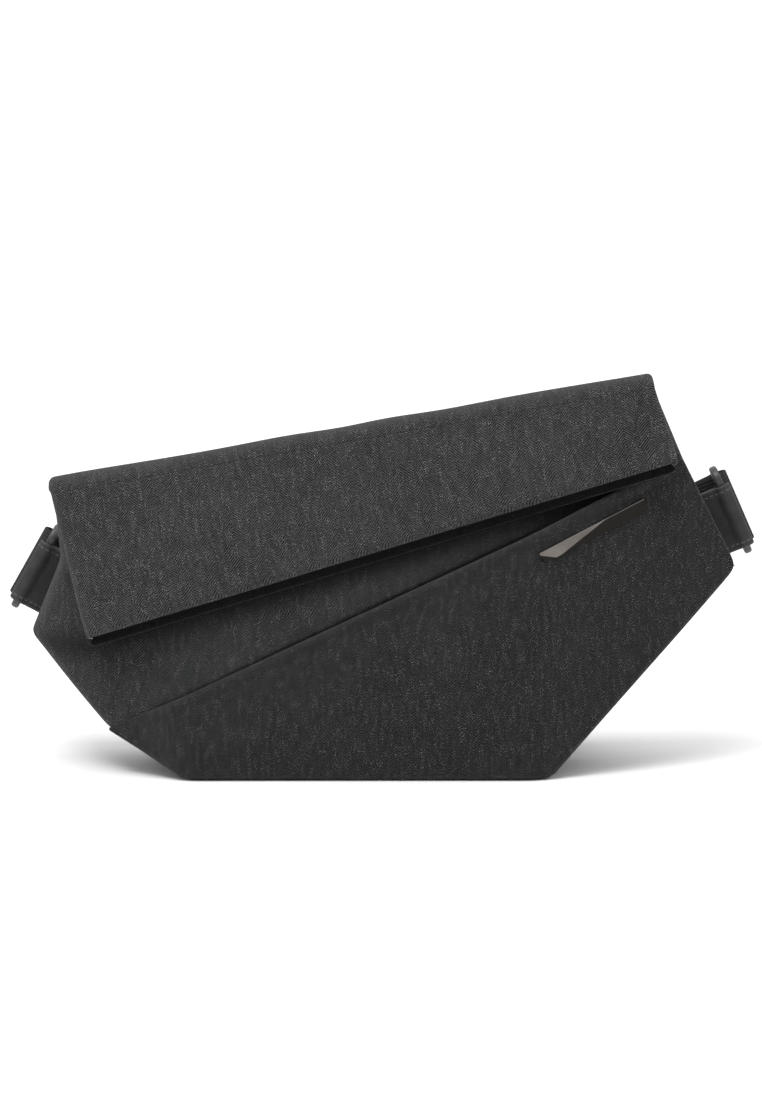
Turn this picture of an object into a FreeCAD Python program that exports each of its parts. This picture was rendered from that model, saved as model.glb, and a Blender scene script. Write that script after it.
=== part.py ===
import FreeCAD, Part
import os
import re
import Sketcher

# A sling bag with a folded roll top, standing on its base.
# Millimetres. X runs along the bag, +Y towards its back, +Z up.
# The origin is the middle of the face that the bag stands on.

# Driving dimensions: each is written once here and read through the sheet.
dimensions = {
    # body
    "fabric": 2.0,               # outer fabric with its backing
    "base_half": 100,            # half the length of the base
    "corner_x": 90,              # where the front face starts to turn back on the right
    "left_kink_x": 143,
    "left_kink_z": 25,
    "left_tip_x": 187,
    "left_tip_z": 72,
    "right_tip_x": 204,
    "right_tip_z": 109.5,
    "left_shoulder_x": 169,
    "right_shoulder_x": 173.5,
    "shoulder_height": 142.3,    # height of the shoulder line over the origin
    "slope": 9,                  # rise of the shoulder line, degrees
    "front_foot": 32,            # front face at the base
    "front_brow": 17,            # front face at the shoulder
    "kink_foot": 20,
    "kink_brow": 12,
    "left_shoulder_y": 3,        # front face at the left shoulder, in front of the origin
    "right_shoulder_y": 4,       # front face at the right shoulder, behind the origin
    "tip_depth": 16,
    "back_face": 38,
    "wing_seam": 5,              # height of the upper gussets at the shoulder
    # neck and roll top
    "fold_height": 182,          # height of the fold's axis over the origin
    "fold_slope": 10,            # rise of the fold's axis, degrees
    "fold_left": 174.7,
    "fold_right": 158.9,
    "fold_depth": 8.5,           # how far the fold's axis lies in front of the origin
    "fold_radius": 8.5,          # inside of the outer layer at the fold
    "fold_core": 0.5,            # inside of the inner layer at the fold
    "roll_lean": 14,             # lean of the hanging flap, degrees
    "roll_gap": 0.3,             # between flap and neck when unrolled
    "flap_left_drop": 81.3,
    "flap_right_drop": 41.3,
    "flap_left_inset": 6,
    "flap_right_flare": 5.6,
    "stiffener": 1.2,
    "stiffener_height": 14,
    "stiffener_margin": 3,
    "magnet_radius": 6,
    "magnet_thick": 1.6,
    "magnet_pitch": 100,
    # pocket
    "hem_angle": 25.2,
    "pocket_start_x": 138,
    "pocket_foot": 42,
    "pocket_brow": 35,
    "pocket_shoulder": 7,        # room in the pocket at the right shoulder
    "pocket_tip": 2,
    "seam": 0.2,                 # room left where two panels are sewn flat together
    "stitch_gap": 0.06,          # room left where a strip is sewn on a slightly twisted face
    "hem_thick": 0.8,
    "hem_height": 3.6,
    # pocket zip
    "zip_left_x": 90,
    "zip_right_x": 82,
    "zip_drop": 10,
    "tape_half": 0.4,
    "slot_half": 0.4,
    "coil_width": 1.6,
    "coil_height": 1.4,
    "stop_length": 1.6,
    "slider_length": 9,
    "slider_half": 3,
    "slider_plate": 1.0,
    "running_gap": 0.2,
    "pull_length": 22,
    "pull_half": 1.9,
    "pull_thick": 1.2,
    "pin_radius": 0.5,
    "pin_height": 5.0,
    "eye_radius": 1.6,
    "ear": 0.8,
    # badge
    "badge_x": 122.5,
    "badge_below_hem": 15.2,
    "badge_length": 67,
    "badge_height": 6.4,
    "badge_slant": 0.9,
    "badge_thick": 1.2,
    "badge_seat": 0.25,
    "prong_radius": 0.8,
    "prong_pitch": 21,
    "backplate": 0.8,
    # inside
    "board": 1.5,
    "lining": 0.6,
    "inside_margin": 6,
    "back_board_corner": 24,
    "back_board_height": 106.3,
    "divider": 3,
    "divider_y": 8,
    "divider_half": 88,
    "divider_height": 104,
    "slip": 0.8,
    "slip_depth": 5,
    "slip_half": 60,
    "slip_height": 70,
    # back padding
    "foam": 6,
    "mesh": 1.5,
    "pad_inset": 8,
    "pad_top_inset": 12,
    "pad_left_x": 130,
    "pad_right_x": 144,
    # tabs, rings and strap
    "left_ring_x": 185.5,        # middle of the ring's front bar
    "left_ring_z": 105.2,
    "left_lean": 29.5,
    "right_ring_x": 202.6,
    "right_ring_z": 137.0,
    "right_lean": 23.7,
    "leather": 1.8,
    "tab_width": 37,
    "tab_root": 34,
    "tab_offset": 2.5,           # how far the tab sits below the middle of its ring
    "tab_loop": 3.4,             # inside radius of the tab round its bar
    "strap_width": 42,
    "ring_bar": 4.5,
    "ring_depth": 16,            # between the centres of a ring's two bars
    "ring_gap": 0.5,             # between the strap's edges and the ring's ends
    "ring_corner": 2.0,
    "strap_loop": 5,
    "webbing": 1.6,
    "strap_end": 22,
    "strap_gap": 2.2,
    "turn_x": 92,
    "turn_right_radius": 19,
    "turn_left_radius": 15.5,
    "left_run_y": 51,
    "adjuster_length": 24,
    "adjuster_bar": 4,
    "adjuster_thick": 2,
    "adjuster_rail": 2.6,
    "adjuster_gap": 0.3,
    "adjuster_start": 54,
    "keeper_length": 12,
    "keeper_wall": 1.0,
    "keeper_start": 110,
}

doc = FreeCAD.newDocument("sling_bag")
sheet = doc.addObject("Spreadsheet::Sheet", "sizes")
for row, (alias, number) in enumerate(dimensions.items(), start=1):
    sheet.set(f"A{row}", str(number))
    sheet.setAlias(f"A{row}", alias)
doc.recompute()
nodes = []


# ---- helpers -------------------------------------------------------------------------------

def bound(text):
    # puts the sheet's name before each alias in an expression
    def prefixed(word):
        return "sizes." + word.group() if word.group() in dimensions else word.group()
    return re.sub(r"[a-z_]+[a-z_0-9]*", prefixed, text)


def move(x, y, z):
    return (f"create(<<placement>>; create(<<vector>>; {x}; {y}; {z}); "
            "create(<<rotation>>; create(<<vector>>; 0; 0; 1); 0))")


def turn(axis, angle):
    vector = {"x": "1; 0; 0", "y": "0; 1; 0", "z": "0; 0; 1"}[axis]
    return (f"create(<<placement>>; create(<<vector>>; 0; 0; 0); "
            f"create(<<rotation>>; create(<<vector>>; {vector}); {angle}))")


def new_body(label, placement=None):
    body = doc.addObject("PartDesign::Body", label)
    body.Label = label
    if placement:
        body.setExpression("Placement", bound(placement))
    nodes.append(body)
    return body


def origin_feature(body, role):
    return next(f for f in body.Origin.OriginFeatures if f.Role == role)


def new_sketch(body, plane, offset, frame=None):
    sketch = body.newObject("Sketcher::SketchObject", "outline")
    sketch.AttachmentSupport = [(origin_feature(body, plane + "_Plane"), "")]
    sketch.MapMode = "FlatFace"
    sketch.setExpression("AttachmentOffset", bound(frame or move("0", "0", offset)))
    return sketch


def polygon(body, plane, points, offset="0", frame=None):
    # a closed outline; each point is a pair of expressions in the plane's own axes
    sketch = new_sketch(body, plane, offset, frame)
    count = len(points)
    seeds = []
    for i in range(count):
        ray = FreeCAD.Rotation(FreeCAD.Vector(0, 0, 1), 360 * i / count)
        seeds.append(ray.multVec(FreeCAD.Vector(10, 0, 0)))
    for i in range(count):
        sketch.addGeometry(Part.LineSegment(seeds[i], seeds[(i + 1) % count]))
    for i in range(count):
        sketch.addConstraint(Sketcher.Constraint("Coincident", i, 2, (i + 1) % count, 1))
    for i, point in enumerate(points):
        for kind, expression in zip(("DistanceX", "DistanceY"), point):
            place = sketch.addConstraint(Sketcher.Constraint(kind, -1, 1, i, 1, 1.0))
            sketch.setExpression(f"Constraints[{place}]", bound(expression))
    return sketch


def circle(body, plane, centre, radius, offset="0"):
    sketch = new_sketch(body, plane, offset)
    sketch.addGeometry(Part.Circle(FreeCAD.Vector(5, 5, 0), FreeCAD.Vector(0, 0, 1), 2))
    values = (("DistanceX", -1, 1, 0, 3), ("DistanceY", -1, 1, 0, 3), ("Radius", 0))
    for value, expression in zip(values, (centre[0], centre[1], radius)):
        place = sketch.addConstraint(Sketcher.Constraint(*value, 1.0))
        sketch.setExpression(f"Constraints[{place}]", bound(expression))
    return sketch


def pad(body, sketch, length):
    feature = body.newObject("PartDesign::Pad", "pad")
    feature.Profile = sketch
    feature.setExpression("Length", bound(length))
    return feature


def pocket(body, sketch, length):
    # cuts along the sketch's normal, the way a pad grows
    feature = body.newObject("PartDesign::Pocket", "pocket")
    feature.Profile = sketch
    feature.Reversed = True
    feature.setExpression("Length", bound(length))
    return feature


def loft(body, sketches):
    feature = body.newObject("PartDesign::AdditiveLoft", "loft")
    feature.Profile = sketches[0]
    feature.Sections = sketches[1:]
    feature.Ruled = True
    return feature


def revolve(body, sketch, axis, angle):
    feature = body.newObject("PartDesign::Revolution", "revolution")
    feature.Profile = sketch
    feature.ReferenceAxis = (origin_feature(body, axis + "_Axis"), [""])
    feature.setExpression("Angle", bound(angle))
    return feature


def block(body, low, high):
    # an upright box between two corners
    (x0, y0, z0), (x1, y1, z1) = low, high
    outline = polygon(body, "XY", [(x0, y0), (x1, y0), (x1, y1), (x0, y1)], z0)
    return pad(body, outline, f"({z1}) - ({z0})")


def slab(label, points, back, thickness, placement=None):
    # a sheet whose outline lies in XZ, from its back face forward by its thickness
    body = new_body(label, placement)
    pad(body, polygon(body, "XZ", points, f"-({back})"), thickness)
    return body


def along_x(label, sections, placement=None):
    # a ruled solid through outlines that stand across X
    body = new_body(label, placement)
    loft(body, [polygon(body, "YZ", points, x) for x, points in sections])
    return body


def group(label, parts):
    # separate solids kept in one node
    made = doc.addObject("Part::Compound", label)
    made.Label = label
    made.Links = parts
    for part in parts:
        nodes.remove(part)
    nodes.append(made)
    return made


# ---- the body's stations along X -------------------------------------------------------------

def shoulder_z(x):
    return f"(shoulder_height + ({x}) * tan(slope))"


def hem_z(x):
    return f"(left_kink_z + (({x}) + left_kink_x) * tan(hem_angle))"


left_rise = "((left_tip_z - left_kink_z) / (left_tip_x - left_kink_x))"
left_low = f"(left_kink_z + (left_shoulder_x - left_kink_x) * {left_rise})"
left_start = "(left_kink_z * (pocket_start_x - base_half) / (left_kink_x - base_half))"
right_low = "(right_tip_z * (right_shoulder_x - base_half) / (right_tip_x - base_half))"


def between(a, b, share):
    return f"({a} + (({b}) - ({a})) * ({share}))"


corner_share = "((base_half - corner_x) / (right_shoulder_x - corner_x))"
start_share = "((pocket_start_x - base_half) / (left_kink_x - base_half))"

# each station: x, lower edge z, upper edge z, front face y at the lower and the upper edge
stations = {
    "left_tip": ("-left_tip_x", "(left_tip_z - fabric)", "(left_tip_z + fabric)",
                 "tip_depth", "tip_depth"),
    "left_shoulder": ("-left_shoulder_x", left_low, shoulder_z("-left_shoulder_x"),
                      "-left_shoulder_y", "-left_shoulder_y"),
    "left_kink": ("-left_kink_x", "left_kink_z", shoulder_z("-left_kink_x"),
                  "-kink_foot", "-kink_brow"),
    "left_base": ("-base_half", "0", shoulder_z("-base_half"), "-front_foot", "-front_brow"),
    "corner": ("corner_x", "0", shoulder_z("corner_x"), "-front_foot", "-front_brow"),
    "right_base": ("base_half", "0", shoulder_z("base_half"),
                   between("-front_foot", "right_shoulder_y", corner_share),
                   between("-front_brow", "right_shoulder_y", corner_share)),
    "right_shoulder": ("right_shoulder_x", right_low, shoulder_z("right_shoulder_x"),
                       "right_shoulder_y", "right_shoulder_y"),
    "right_tip": ("right_tip_x", "(right_tip_z - fabric)", "(right_tip_z + fabric)",
                  "tip_depth", "tip_depth"),
}


def front_y(station, z):
    x, low, high, foot, brow = stations[station]
    return f"({foot} + ({brow} - ({foot})) * (({z}) - {low}) / ({high} - {low}))"


back_inside = "(back_face - fabric)"


# ---- body panels -----------------------------------------------------------------------------

def make_front_panel():
    sections = []
    for x, low, high, foot, brow in stations.values():
        sections.append((x, [(foot, low), (f"{foot} + fabric", low),
                             (f"{brow} + fabric", high), (brow, high)]))
    along_x("front_panel", sections)


def back_outline():
    order = [("left_tip", 1), ("left_kink", 1), ("left_base", 1), ("right_base", 1),
             ("right_tip", 1), ("right_tip", 2), ("right_shoulder", 2), ("left_shoulder", 2),
             ("left_tip", 2)]
    return [(stations[name][0], stations[name][edge]) for name, edge in order]


def make_back_panel():
    slab("back_panel", back_outline(), "back_face", "fabric")


def make_lower_gusset(label, names):
    sections = []
    for name in names:
        x, low, high, foot, brow = stations[name]
        top = f"({low} + fabric)"
        sections.append((x, [(f"{foot} + fabric", low), (back_inside, low), (back_inside, top),
                             (f"{front_y(name, top)} + fabric", top)]))
    along_x(label, sections)


def make_upper_gusset(label, shoulder, tip, lift):
    sections = []
    for name, height in ((shoulder, lift), (tip, "fabric")):
        x, low, high, foot, brow = stations[name]
        under = f"({high} - {height})"
        sections.append((x, [(f"{front_y(name, under)} + fabric", under), (back_inside, under),
                             (back_inside, high), (f"{brow} + fabric", high)]))
    along_x(label, sections)


# ---- neck: a flat tube from the shoulder line to the fold line ------------------------------------

shoulder_frame = move("0", "0", "shoulder_height") + " * " + turn("y", "-slope")
fold_frame = move("0", "-fold_depth", "fold_height") + " * " + turn("y", "-fold_slope")
neck_stations = ["left_shoulder", "left_kink", "left_base", "corner", "right_shoulder"]
neck_foot_left = "(-left_shoulder_x / cos(slope))"
neck_foot_right = "(right_shoulder_x / cos(slope))"


def make_neck_layer(label, foot_points, near, far):
    # foot_points run along the layer's outer face; the top is straight from near to far
    body = new_body(label)
    foot = foot_points + [(u, f"{y} + fabric") for u, y in reversed(foot_points)]
    span = f"({neck_foot_right} - {neck_foot_left})"
    top = []
    for i, (u, y) in enumerate(foot):
        share = f"(({u}) - {neck_foot_left}) / {span}"
        edge = near if i < len(foot_points) else far
        top.append((between("-fold_left", "fold_right", share), edge))
    loft(body, [polygon(body, "XY", foot, frame=shoulder_frame),
                polygon(body, "XY", top, frame=fold_frame)])


def make_neck():
    front = [(f"({stations[name][0]} / cos(slope))", stations[name][4]) for name in neck_stations]
    make_neck_layer("neck_front", front, "fold_core", "fold_core + fabric")
    back = [(neck_foot_left, back_inside), (neck_foot_right, back_inside)]
    make_neck_layer("neck_back", back, "fold_radius", "fold_radius + fabric")


def make_neck_side(label, side, shoulder, neighbour, foot_u, fold_u):
    # closes the tube's end; its front edge follows the inner face of the front layer
    x, brow = stations[shoulder][0], stations[shoulder][4]
    next_x, next_brow = stations[neighbour][0], stations[neighbour][4]
    share = f"(fabric * cos(slope) / abs(({next_x}) - ({x})))"
    body = new_body(label)
    inner_u = f"{foot_u} - {side} * fabric"
    lower = [(foot_u, f"{brow} + fabric"),
             (inner_u, f"{between(brow, next_brow, share)} + fabric"),
             (inner_u, back_inside), (foot_u, back_inside)]
    top_inner = f"{fold_u} - {side} * fabric"
    upper = [(fold_u, "fold_core + fabric"), (top_inner, "fold_core + fabric"),
             (top_inner, "fold_radius"), (fold_u, "fold_radius")]
    loft(body, [polygon(body, "XY", lower, frame=shoulder_frame),
                polygon(body, "XY", upper, frame=fold_frame)])


# ---- roll top: modelled hanging from its fold axis, x along the fold and z up the flap -------------

flap_frame = fold_frame + " * " + turn("x", "-roll_lean")
hem_left = "(-fold_left + flap_left_inset)"
hem_right = "(fold_right + flap_right_flare)"
outer_back = "(-fold_radius)"
inner_back = "(-fold_core)"


def flap_hem(u):
    # height of the flap's lower edge at a place along the fold
    share = f"(({u}) - {hem_left}) / ({hem_right} - {hem_left})"
    return between("-flap_left_drop", "-flap_right_drop", share)


def make_fold(label, inside):
    # the turned cloth between neck and flap
    body = new_body(label, fold_frame + " * " + turn("x", "180 - roll_lean"))
    outline = polygon(body, "XY", [("-fold_left", inside), ("fold_right", inside),
                                   ("fold_right", f"{inside} + fabric"),
                                   ("-fold_left", f"{inside} + fabric")])
    feature = revolve(body, outline, "X", "180 - roll_lean")
    feature.Reversed = True


def make_flap_layer(label, back):
    outline = [("-fold_left", "-roll_gap"), ("fold_right", "-roll_gap"),
               (hem_right, "-flap_right_drop"), (hem_left, "-flap_left_drop")]
    slab(label, outline, back, "fabric", flap_frame)


def make_flap_edge(label, side, top_u, hem_u, drop):
    outline = [(top_u, "-roll_gap"), (hem_u, f"-{drop}"),
               (f"{hem_u} - {side} * fabric", flap_hem(f"{hem_u} - {side} * fabric")),
               (f"{top_u} - {side} * fabric", "-roll_gap")]
    slab(label, outline, f"{inner_back} - fabric", "fold_radius - fold_core - fabric", flap_frame)


def make_stiffener(label, back):
    ends = [f"({hem_left} + fabric + stiffener_margin)", f"({hem_right} - fabric - stiffener_margin)"]
    low = [(u, f"{flap_hem(u)} + stiffener_margin") for u in ends]
    high = [(u, f"{flap_hem(u)} + stiffener_margin + stiffener_height") for u in reversed(ends)]
    slab(label, low + high, back, "stiffener", flap_frame)


def make_magnets(label, back):
    discs = []
    for i in (-1, 0, 1):
        u = f"({i} * magnet_pitch)"
        disc = new_body(f"{label}_{i + 2}", flap_frame)
        z = f"{flap_hem(u)} + stiffener_margin + stiffener_height / 2"
        pad(disc, circle(disc, "XZ", (u, z), "magnet_radius", f"-({back})"), "magnet_thick")
        discs.append(disc)
    group(label, discs)


# ---- pocket ----------------------------------------------------------------------------------

tip_x, tip_low, tip_high = stations["right_tip"][:3]
start_front = between("-front_foot", "-kink_foot", start_share)

# each station: x, lower z, upper z, outer y at the lower and the upper edge
pocket_stations = [
    ("-pocket_start_x", left_start, hem_z("-pocket_start_x"),
     f"({start_front} - fabric - seam)", f"({start_front} - fabric - seam)"),
    ("-base_half", "0", hem_z("-base_half"), "(-pocket_foot)", "(-pocket_brow)"),
    ("corner_x", "0", hem_z("corner_x"), "(-pocket_foot)", "(-pocket_brow)"),
    ("base_half", "0", hem_z("base_half"),
     between("(-pocket_foot)", "(right_shoulder_y - fabric - pocket_shoulder)", corner_share),
     between("(-pocket_brow)", "(right_shoulder_y - fabric - pocket_shoulder)", corner_share)),
    ("right_shoulder_x", right_low, hem_z("right_shoulder_x"),
     "(right_shoulder_y - fabric - pocket_shoulder)", "(right_shoulder_y - fabric - pocket_shoulder)"),
    (tip_x, tip_low, tip_high, "(tip_depth - fabric - pocket_tip)",
     "(tip_depth - fabric - pocket_tip)"),
]
front_at_pocket = [f"({start_front})"] + [stations[name][3] for name in
                   ("left_base", "corner", "right_base", "right_shoulder", "right_tip")]


def make_pocket_panel():
    sections = []
    for x, low, high, foot, brow in pocket_stations:
        sections.append((x, [(foot, low), (f"{foot} + fabric", low),
                             (f"{brow} + fabric", high), (brow, high)]))
    along_x("pocket_panel", sections)


def make_pocket_gusset():
    # closes the pocket's lower edge, between its panel and the front panel
    front_names = ["left_base", "corner", "right_base", "right_shoulder", "right_tip"]
    sections = []
    for i, (x, low, high, foot, brow) in enumerate(pocket_stations):
        top = f"({low} + fabric)"
        panel_top = f"({foot} + ({brow} - {foot}) * fabric / ({high} - {low}) + fabric)"
        front_top = front_at_pocket[0] if i == 0 else front_y(front_names[i - 1], top)
        sections.append((x, [(f"{foot} + fabric", low), (front_at_pocket[i], low),
                             (front_top, top), (panel_top, top)]))
    along_x("pocket_gusset", sections)


def flat_front_y(x, z):
    return f"(-front_foot + (front_foot - front_brow) * ({z}) / {shoulder_z(x)})"


def flat_pocket_y(x, z):
    # inner face of the pocket panel between the base's left end and the corner
    return f"(-pocket_foot + (pocket_foot - pocket_brow) * ({z}) / {hem_z(x)} + fabric + stitch_gap)"


def make_pocket_hem():
    # the doubled hem on the inside of the pocket's upper edge
    sections = []
    for i in range(5):
        x = between("-base_half", "corner_x", f"{i} / 4")
        high = hem_z(x)
        under = f"({high} - hem_height)"
        low_y, high_y = flat_pocket_y(x, under), flat_pocket_y(x, high)
        sections.append((x, [(low_y, under), (f"{low_y} + hem_thick", under),
                             (f"{high_y} + hem_thick", high), (high_y, high)]))
    along_x("pocket_hem", sections)


# ---- pocket zip: straight, between the flat stretches of the two faces ---------------------------

def zip_z(x):
    return f"({hem_z(x)} - zip_drop)"


def zip_y(x):
    return f"(({flat_front_y(x, zip_z(x))} + {flat_pocket_y(x, zip_z(x))}) / 2)"


zip_run = "(zip_left_x + zip_right_x)"
zip_drift = f"({zip_y('zip_right_x')} - {zip_y('-zip_left_x')})"
zip_yaw = f"atan({zip_drift} / {zip_run})"
zip_pitch = f"atan(tan(hem_angle) * cos({zip_yaw}))"
zip_length = f"({zip_run} / cos({zip_yaw}) / cos({zip_pitch}))"
zip_frame = " * ".join([move("zip_right_x", zip_y("zip_right_x"), zip_z("zip_right_x")),
                        turn("z", zip_yaw), turn("y", f"-{zip_pitch}")])


def make_tape(label, face, side):
    # a strip from a face to the slot between the coils
    sections = []
    thick = f"(tape_half / cos({zip_pitch}))"
    for i in range(5):
        x = between("-zip_left_x", "zip_right_x", f"{i} / 4")
        low, high = f"({zip_z(x)} - {thick})", f"({zip_z(x)} + {thick})"
        middle = between(zip_y("-zip_left_x"), zip_y("zip_right_x"), f"{i} / 4")
        slot = f"({middle} + {side} * slot_half)"
        sections.append((x, [(slot, low), (face(x, low), low), (face(x, high), high),
                             (slot, high)]))
    along_x(label, sections)


def make_coil(label, side):
    body = new_body(label, zip_frame)
    ys = sorted([(side * 1, f"{side} * slot_half"), (side * 2, f"{side} * (slot_half + coil_width)")])
    block(body, (f"-{zip_length}", ys[0][1], "tape_half + stitch_gap"),
          ("0", ys[1][1], "tape_half + coil_height"))


def make_zip_stops():
    stops = []
    for label, x in (("zip_stop_upper", "running_gap"),
                     ("zip_stop_lower", f"-{zip_length} - running_gap - stop_length")):
        body = new_body(label, zip_frame)
        block(body, (x, "-slot_half - coil_width", "tape_half"),
              (f"{x} + stop_length", "slot_half + coil_width", "tape_half + coil_height"))
        stops.append(body)
    group("zip_stops", stops)


plate_top = "(tape_half + coil_height + running_gap)"
plate_bottom = "(-tape_half - running_gap)"
pin_x = "(-slider_length / 2)"


def make_slider():
    # two plates joined by a thin keel that runs in the slot, and two ears with the pull's pin
    body = new_body("zip_slider", zip_frame)
    block(body, ("-slider_length", "-slider_half", f"{plate_bottom} - slider_plate"),
          ("0", "slider_half", plate_bottom))
    block(body, ("-slider_length", "-slot_half + running_gap", plate_bottom),
          ("-slider_length * 2 / 3", "slot_half - running_gap", plate_top))
    block(body, ("-slider_length", "-slider_half", plate_top),
          ("0", "slider_half", f"{plate_top} + slider_plate"))
    for low, high in (("-slider_half", "-slider_half + ear"), ("slider_half - ear", "slider_half")):
        block(body, (f"{pin_x} - eye_radius", low, f"{plate_top} + slider_plate"),
              (f"{pin_x} + eye_radius", high, "pin_height + 2 * pin_radius"))
    pin = circle(body, "XZ", (pin_x, "pin_height"), "pin_radius", "-slider_half")
    pad(body, pin, "2 * slider_half")


def make_pull():
    body = new_body("zip_pull", zip_frame)
    half = "pull_thick / 2"
    blade = polygon(body, "XZ", [(f"{pin_x} - pull_length", f"pin_height - {half}"),
                                 (pin_x, f"pin_height - {half}"), (pin_x, f"pin_height + {half}"),
                                 (f"{pin_x} - pull_length", f"pin_height + {half}")], "-pull_half")
    pad(body, blade, "2 * pull_half")
    eye = circle(body, "XZ", (pin_x, "pin_height"), "eye_radius", "-pull_half")
    pad(body, eye, "2 * pull_half")
    bore = circle(body, "XZ", (pin_x, "pin_height"), "pin_radius + running_gap", "-pull_half")
    pocket(body, bore, "2 * pull_half")


# ---- badge: a slim bar below the hem, on the face that turns back to the right --------------------

face_run = "(right_shoulder_x - corner_x)"
face_end_y = "(right_shoulder_y - fabric - pocket_shoulder)"
badge_z = f"({hem_z('badge_x')} - badge_below_hem)"


def face_y(x, z):
    # outer face of the pocket panel between the corner and the right shoulder
    share = f"((({x}) - corner_x) / {face_run})"
    low = f"(right_tip_z * (({x}) - base_half) / (right_tip_x - base_half))"
    foot = between("(-pocket_foot)", face_end_y, share)
    brow = between("(-pocket_brow)", face_end_y, share)
    return f"({foot} + ({brow} - {foot}) * (({z}) - {low}) / ({hem_z(x)} - {low}))"


badge_y = face_y("badge_x", badge_z)
badge_drift = f"({face_y('(badge_x + prong_pitch)', badge_z)} - {face_y('(badge_x - prong_pitch)', badge_z)})"
badge_yaw = f"atan({badge_drift} / (2 * prong_pitch))"
badge_tilt = f"atan(tan(hem_angle) * cos({badge_yaw}))"
badge_fall = f"({badge_y} - {face_y('badge_x', f'({badge_z} - badge_height)')})"
badge_lean = f"atan({badge_fall} / badge_height * cos({badge_yaw}))"
badge_frame = " * ".join([move("badge_x", badge_y, badge_z), turn("z", badge_yaw),
                          turn("x", f"-{badge_lean}"), turn("y", f"-{badge_tilt}")])


def make_badge():
    # a narrow plate, its two ends a little slanted
    half, tall = "badge_length / 2", "badge_height / 2"
    outline = [(f"-{half} + badge_slant", f"-{tall}"), (f"{half} - badge_slant", f"-{tall}"),
               (half, tall), (f"-{half}", tall)]
    slab("badge", outline, "-badge_seat", "badge_thick", badge_frame)


def make_badge_prongs():
    prongs = []
    for i in (-1, 0, 1):
        prong = new_body(f"badge_prong_{i + 2}", badge_frame)
        start = "badge_seat"
        outline = circle(prong, "XZ", (f"{i} * prong_pitch", "0"), "prong_radius",
                         "-fabric - 2 * seam")
        pad(prong, outline, f"fabric + 2 * seam + {start}")
        prongs.append(prong)
    group("badge_prongs", prongs)


def make_badge_backplate():
    half, tall = "(prong_pitch + 3 * prong_radius)", "(badge_height / 2 - 1)"
    outline = [(f"-{half}", f"-{tall}"), (half, f"-{tall}"), (half, tall), (f"-{half}", tall)]
    slab("badge_backplate", outline, "fabric + 2 * seam + backplate", "backplate", badge_frame)


# ---- inside the body ---------------------------------------------------------------------------

def make_boards_and_lining():
    board = new_body("base_board")
    block(board, ("-base_half + inside_margin", "-front_foot + fabric + inside_margin", "fabric"),
          ("corner_x - inside_margin", f"{back_inside} - board - lining - seam", "fabric + board"))
    reach, low_corner = "(base_half + inside_margin)", "back_board_corner"
    outline = [("-base_half", "inside_margin"), ("base_half", "inside_margin"), (reach, low_corner),
               (reach, "back_board_height"), (f"-{reach}", "back_board_height"),
               (f"-{reach}", low_corner)]
    slab("back_board", outline, back_inside, "board")
    slab("back_lining", outline, f"{back_inside} - board", "lining")


def make_divider():
    slab("divider", [("-divider_half", "fabric + board"), ("divider_half", "fabric + board"),
                     ("divider_half", "divider_height"), ("-divider_half", "divider_height")],
         "divider_y + divider", "divider")
    pouch = new_body("slip_pocket")
    floor, front = "(fabric + board + inside_margin)", "(divider_y - slip_depth)"
    block(pouch, ("-slip_half", front, floor), ("slip_half", f"{front} + slip", "slip_height"))
    for low, high in (("-slip_half", "-slip_half + slip"), ("slip_half - slip", "slip_half")):
        block(pouch, (low, front, floor), (high, "divider_y", "slip_height"))
    block(pouch, ("-slip_half", front, floor), ("slip_half", "divider_y", f"{floor} + slip"))


def make_back_padding():
    outline = [("-base_half + pad_inset", "pad_inset"), ("base_half - pad_inset", "pad_inset"),
               ("pad_right_x", f"{right_low} - pad_inset"),
               ("pad_right_x", f"{shoulder_z('pad_right_x')} - pad_top_inset"),
               ("-pad_left_x", f"{shoulder_z('-pad_left_x')} - pad_top_inset"),
               ("-pad_left_x", "left_kink_z + pad_inset")]
    slab("back_foam", outline, "back_face + foam", "foam")
    slab("back_mesh", outline, "back_face + foam + mesh", "mesh")


# ---- tabs and rings: x along the bag, z along the ring's bars ---------------------------------------

bar_y = "(back_face + leather)"
left_side = move("-left_ring_x", bar_y, "left_ring_z") + " * " + turn("y", "left_lean")
right_side = move("right_ring_x", bar_y, "right_ring_z") + " * " + turn("y", "-right_lean")


def looped_end(label, place, side, y, length, thick, width, inside, offset="0"):
    # two layers sewn flat together, ending in a loop round a bar
    body = new_body(label, place)
    far = f"(-{side} * {length})"
    xs = [far, "0"] if side > 0 else ["0", far]
    low, high = f"(-{width} / 2 - {offset})", f"({width} / 2 - {offset})"
    block(body, (xs[0], f"{y} - {thick}", low), (xs[1], f"{y} + {thick}", high))
    rim = circle(body, "XY", ("0", y), f"{inside} + {thick}", low)
    pad(body, rim, width)
    bore = circle(body, "XY", ("0", y), inside, low)
    pocket(body, bore, width)


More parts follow.
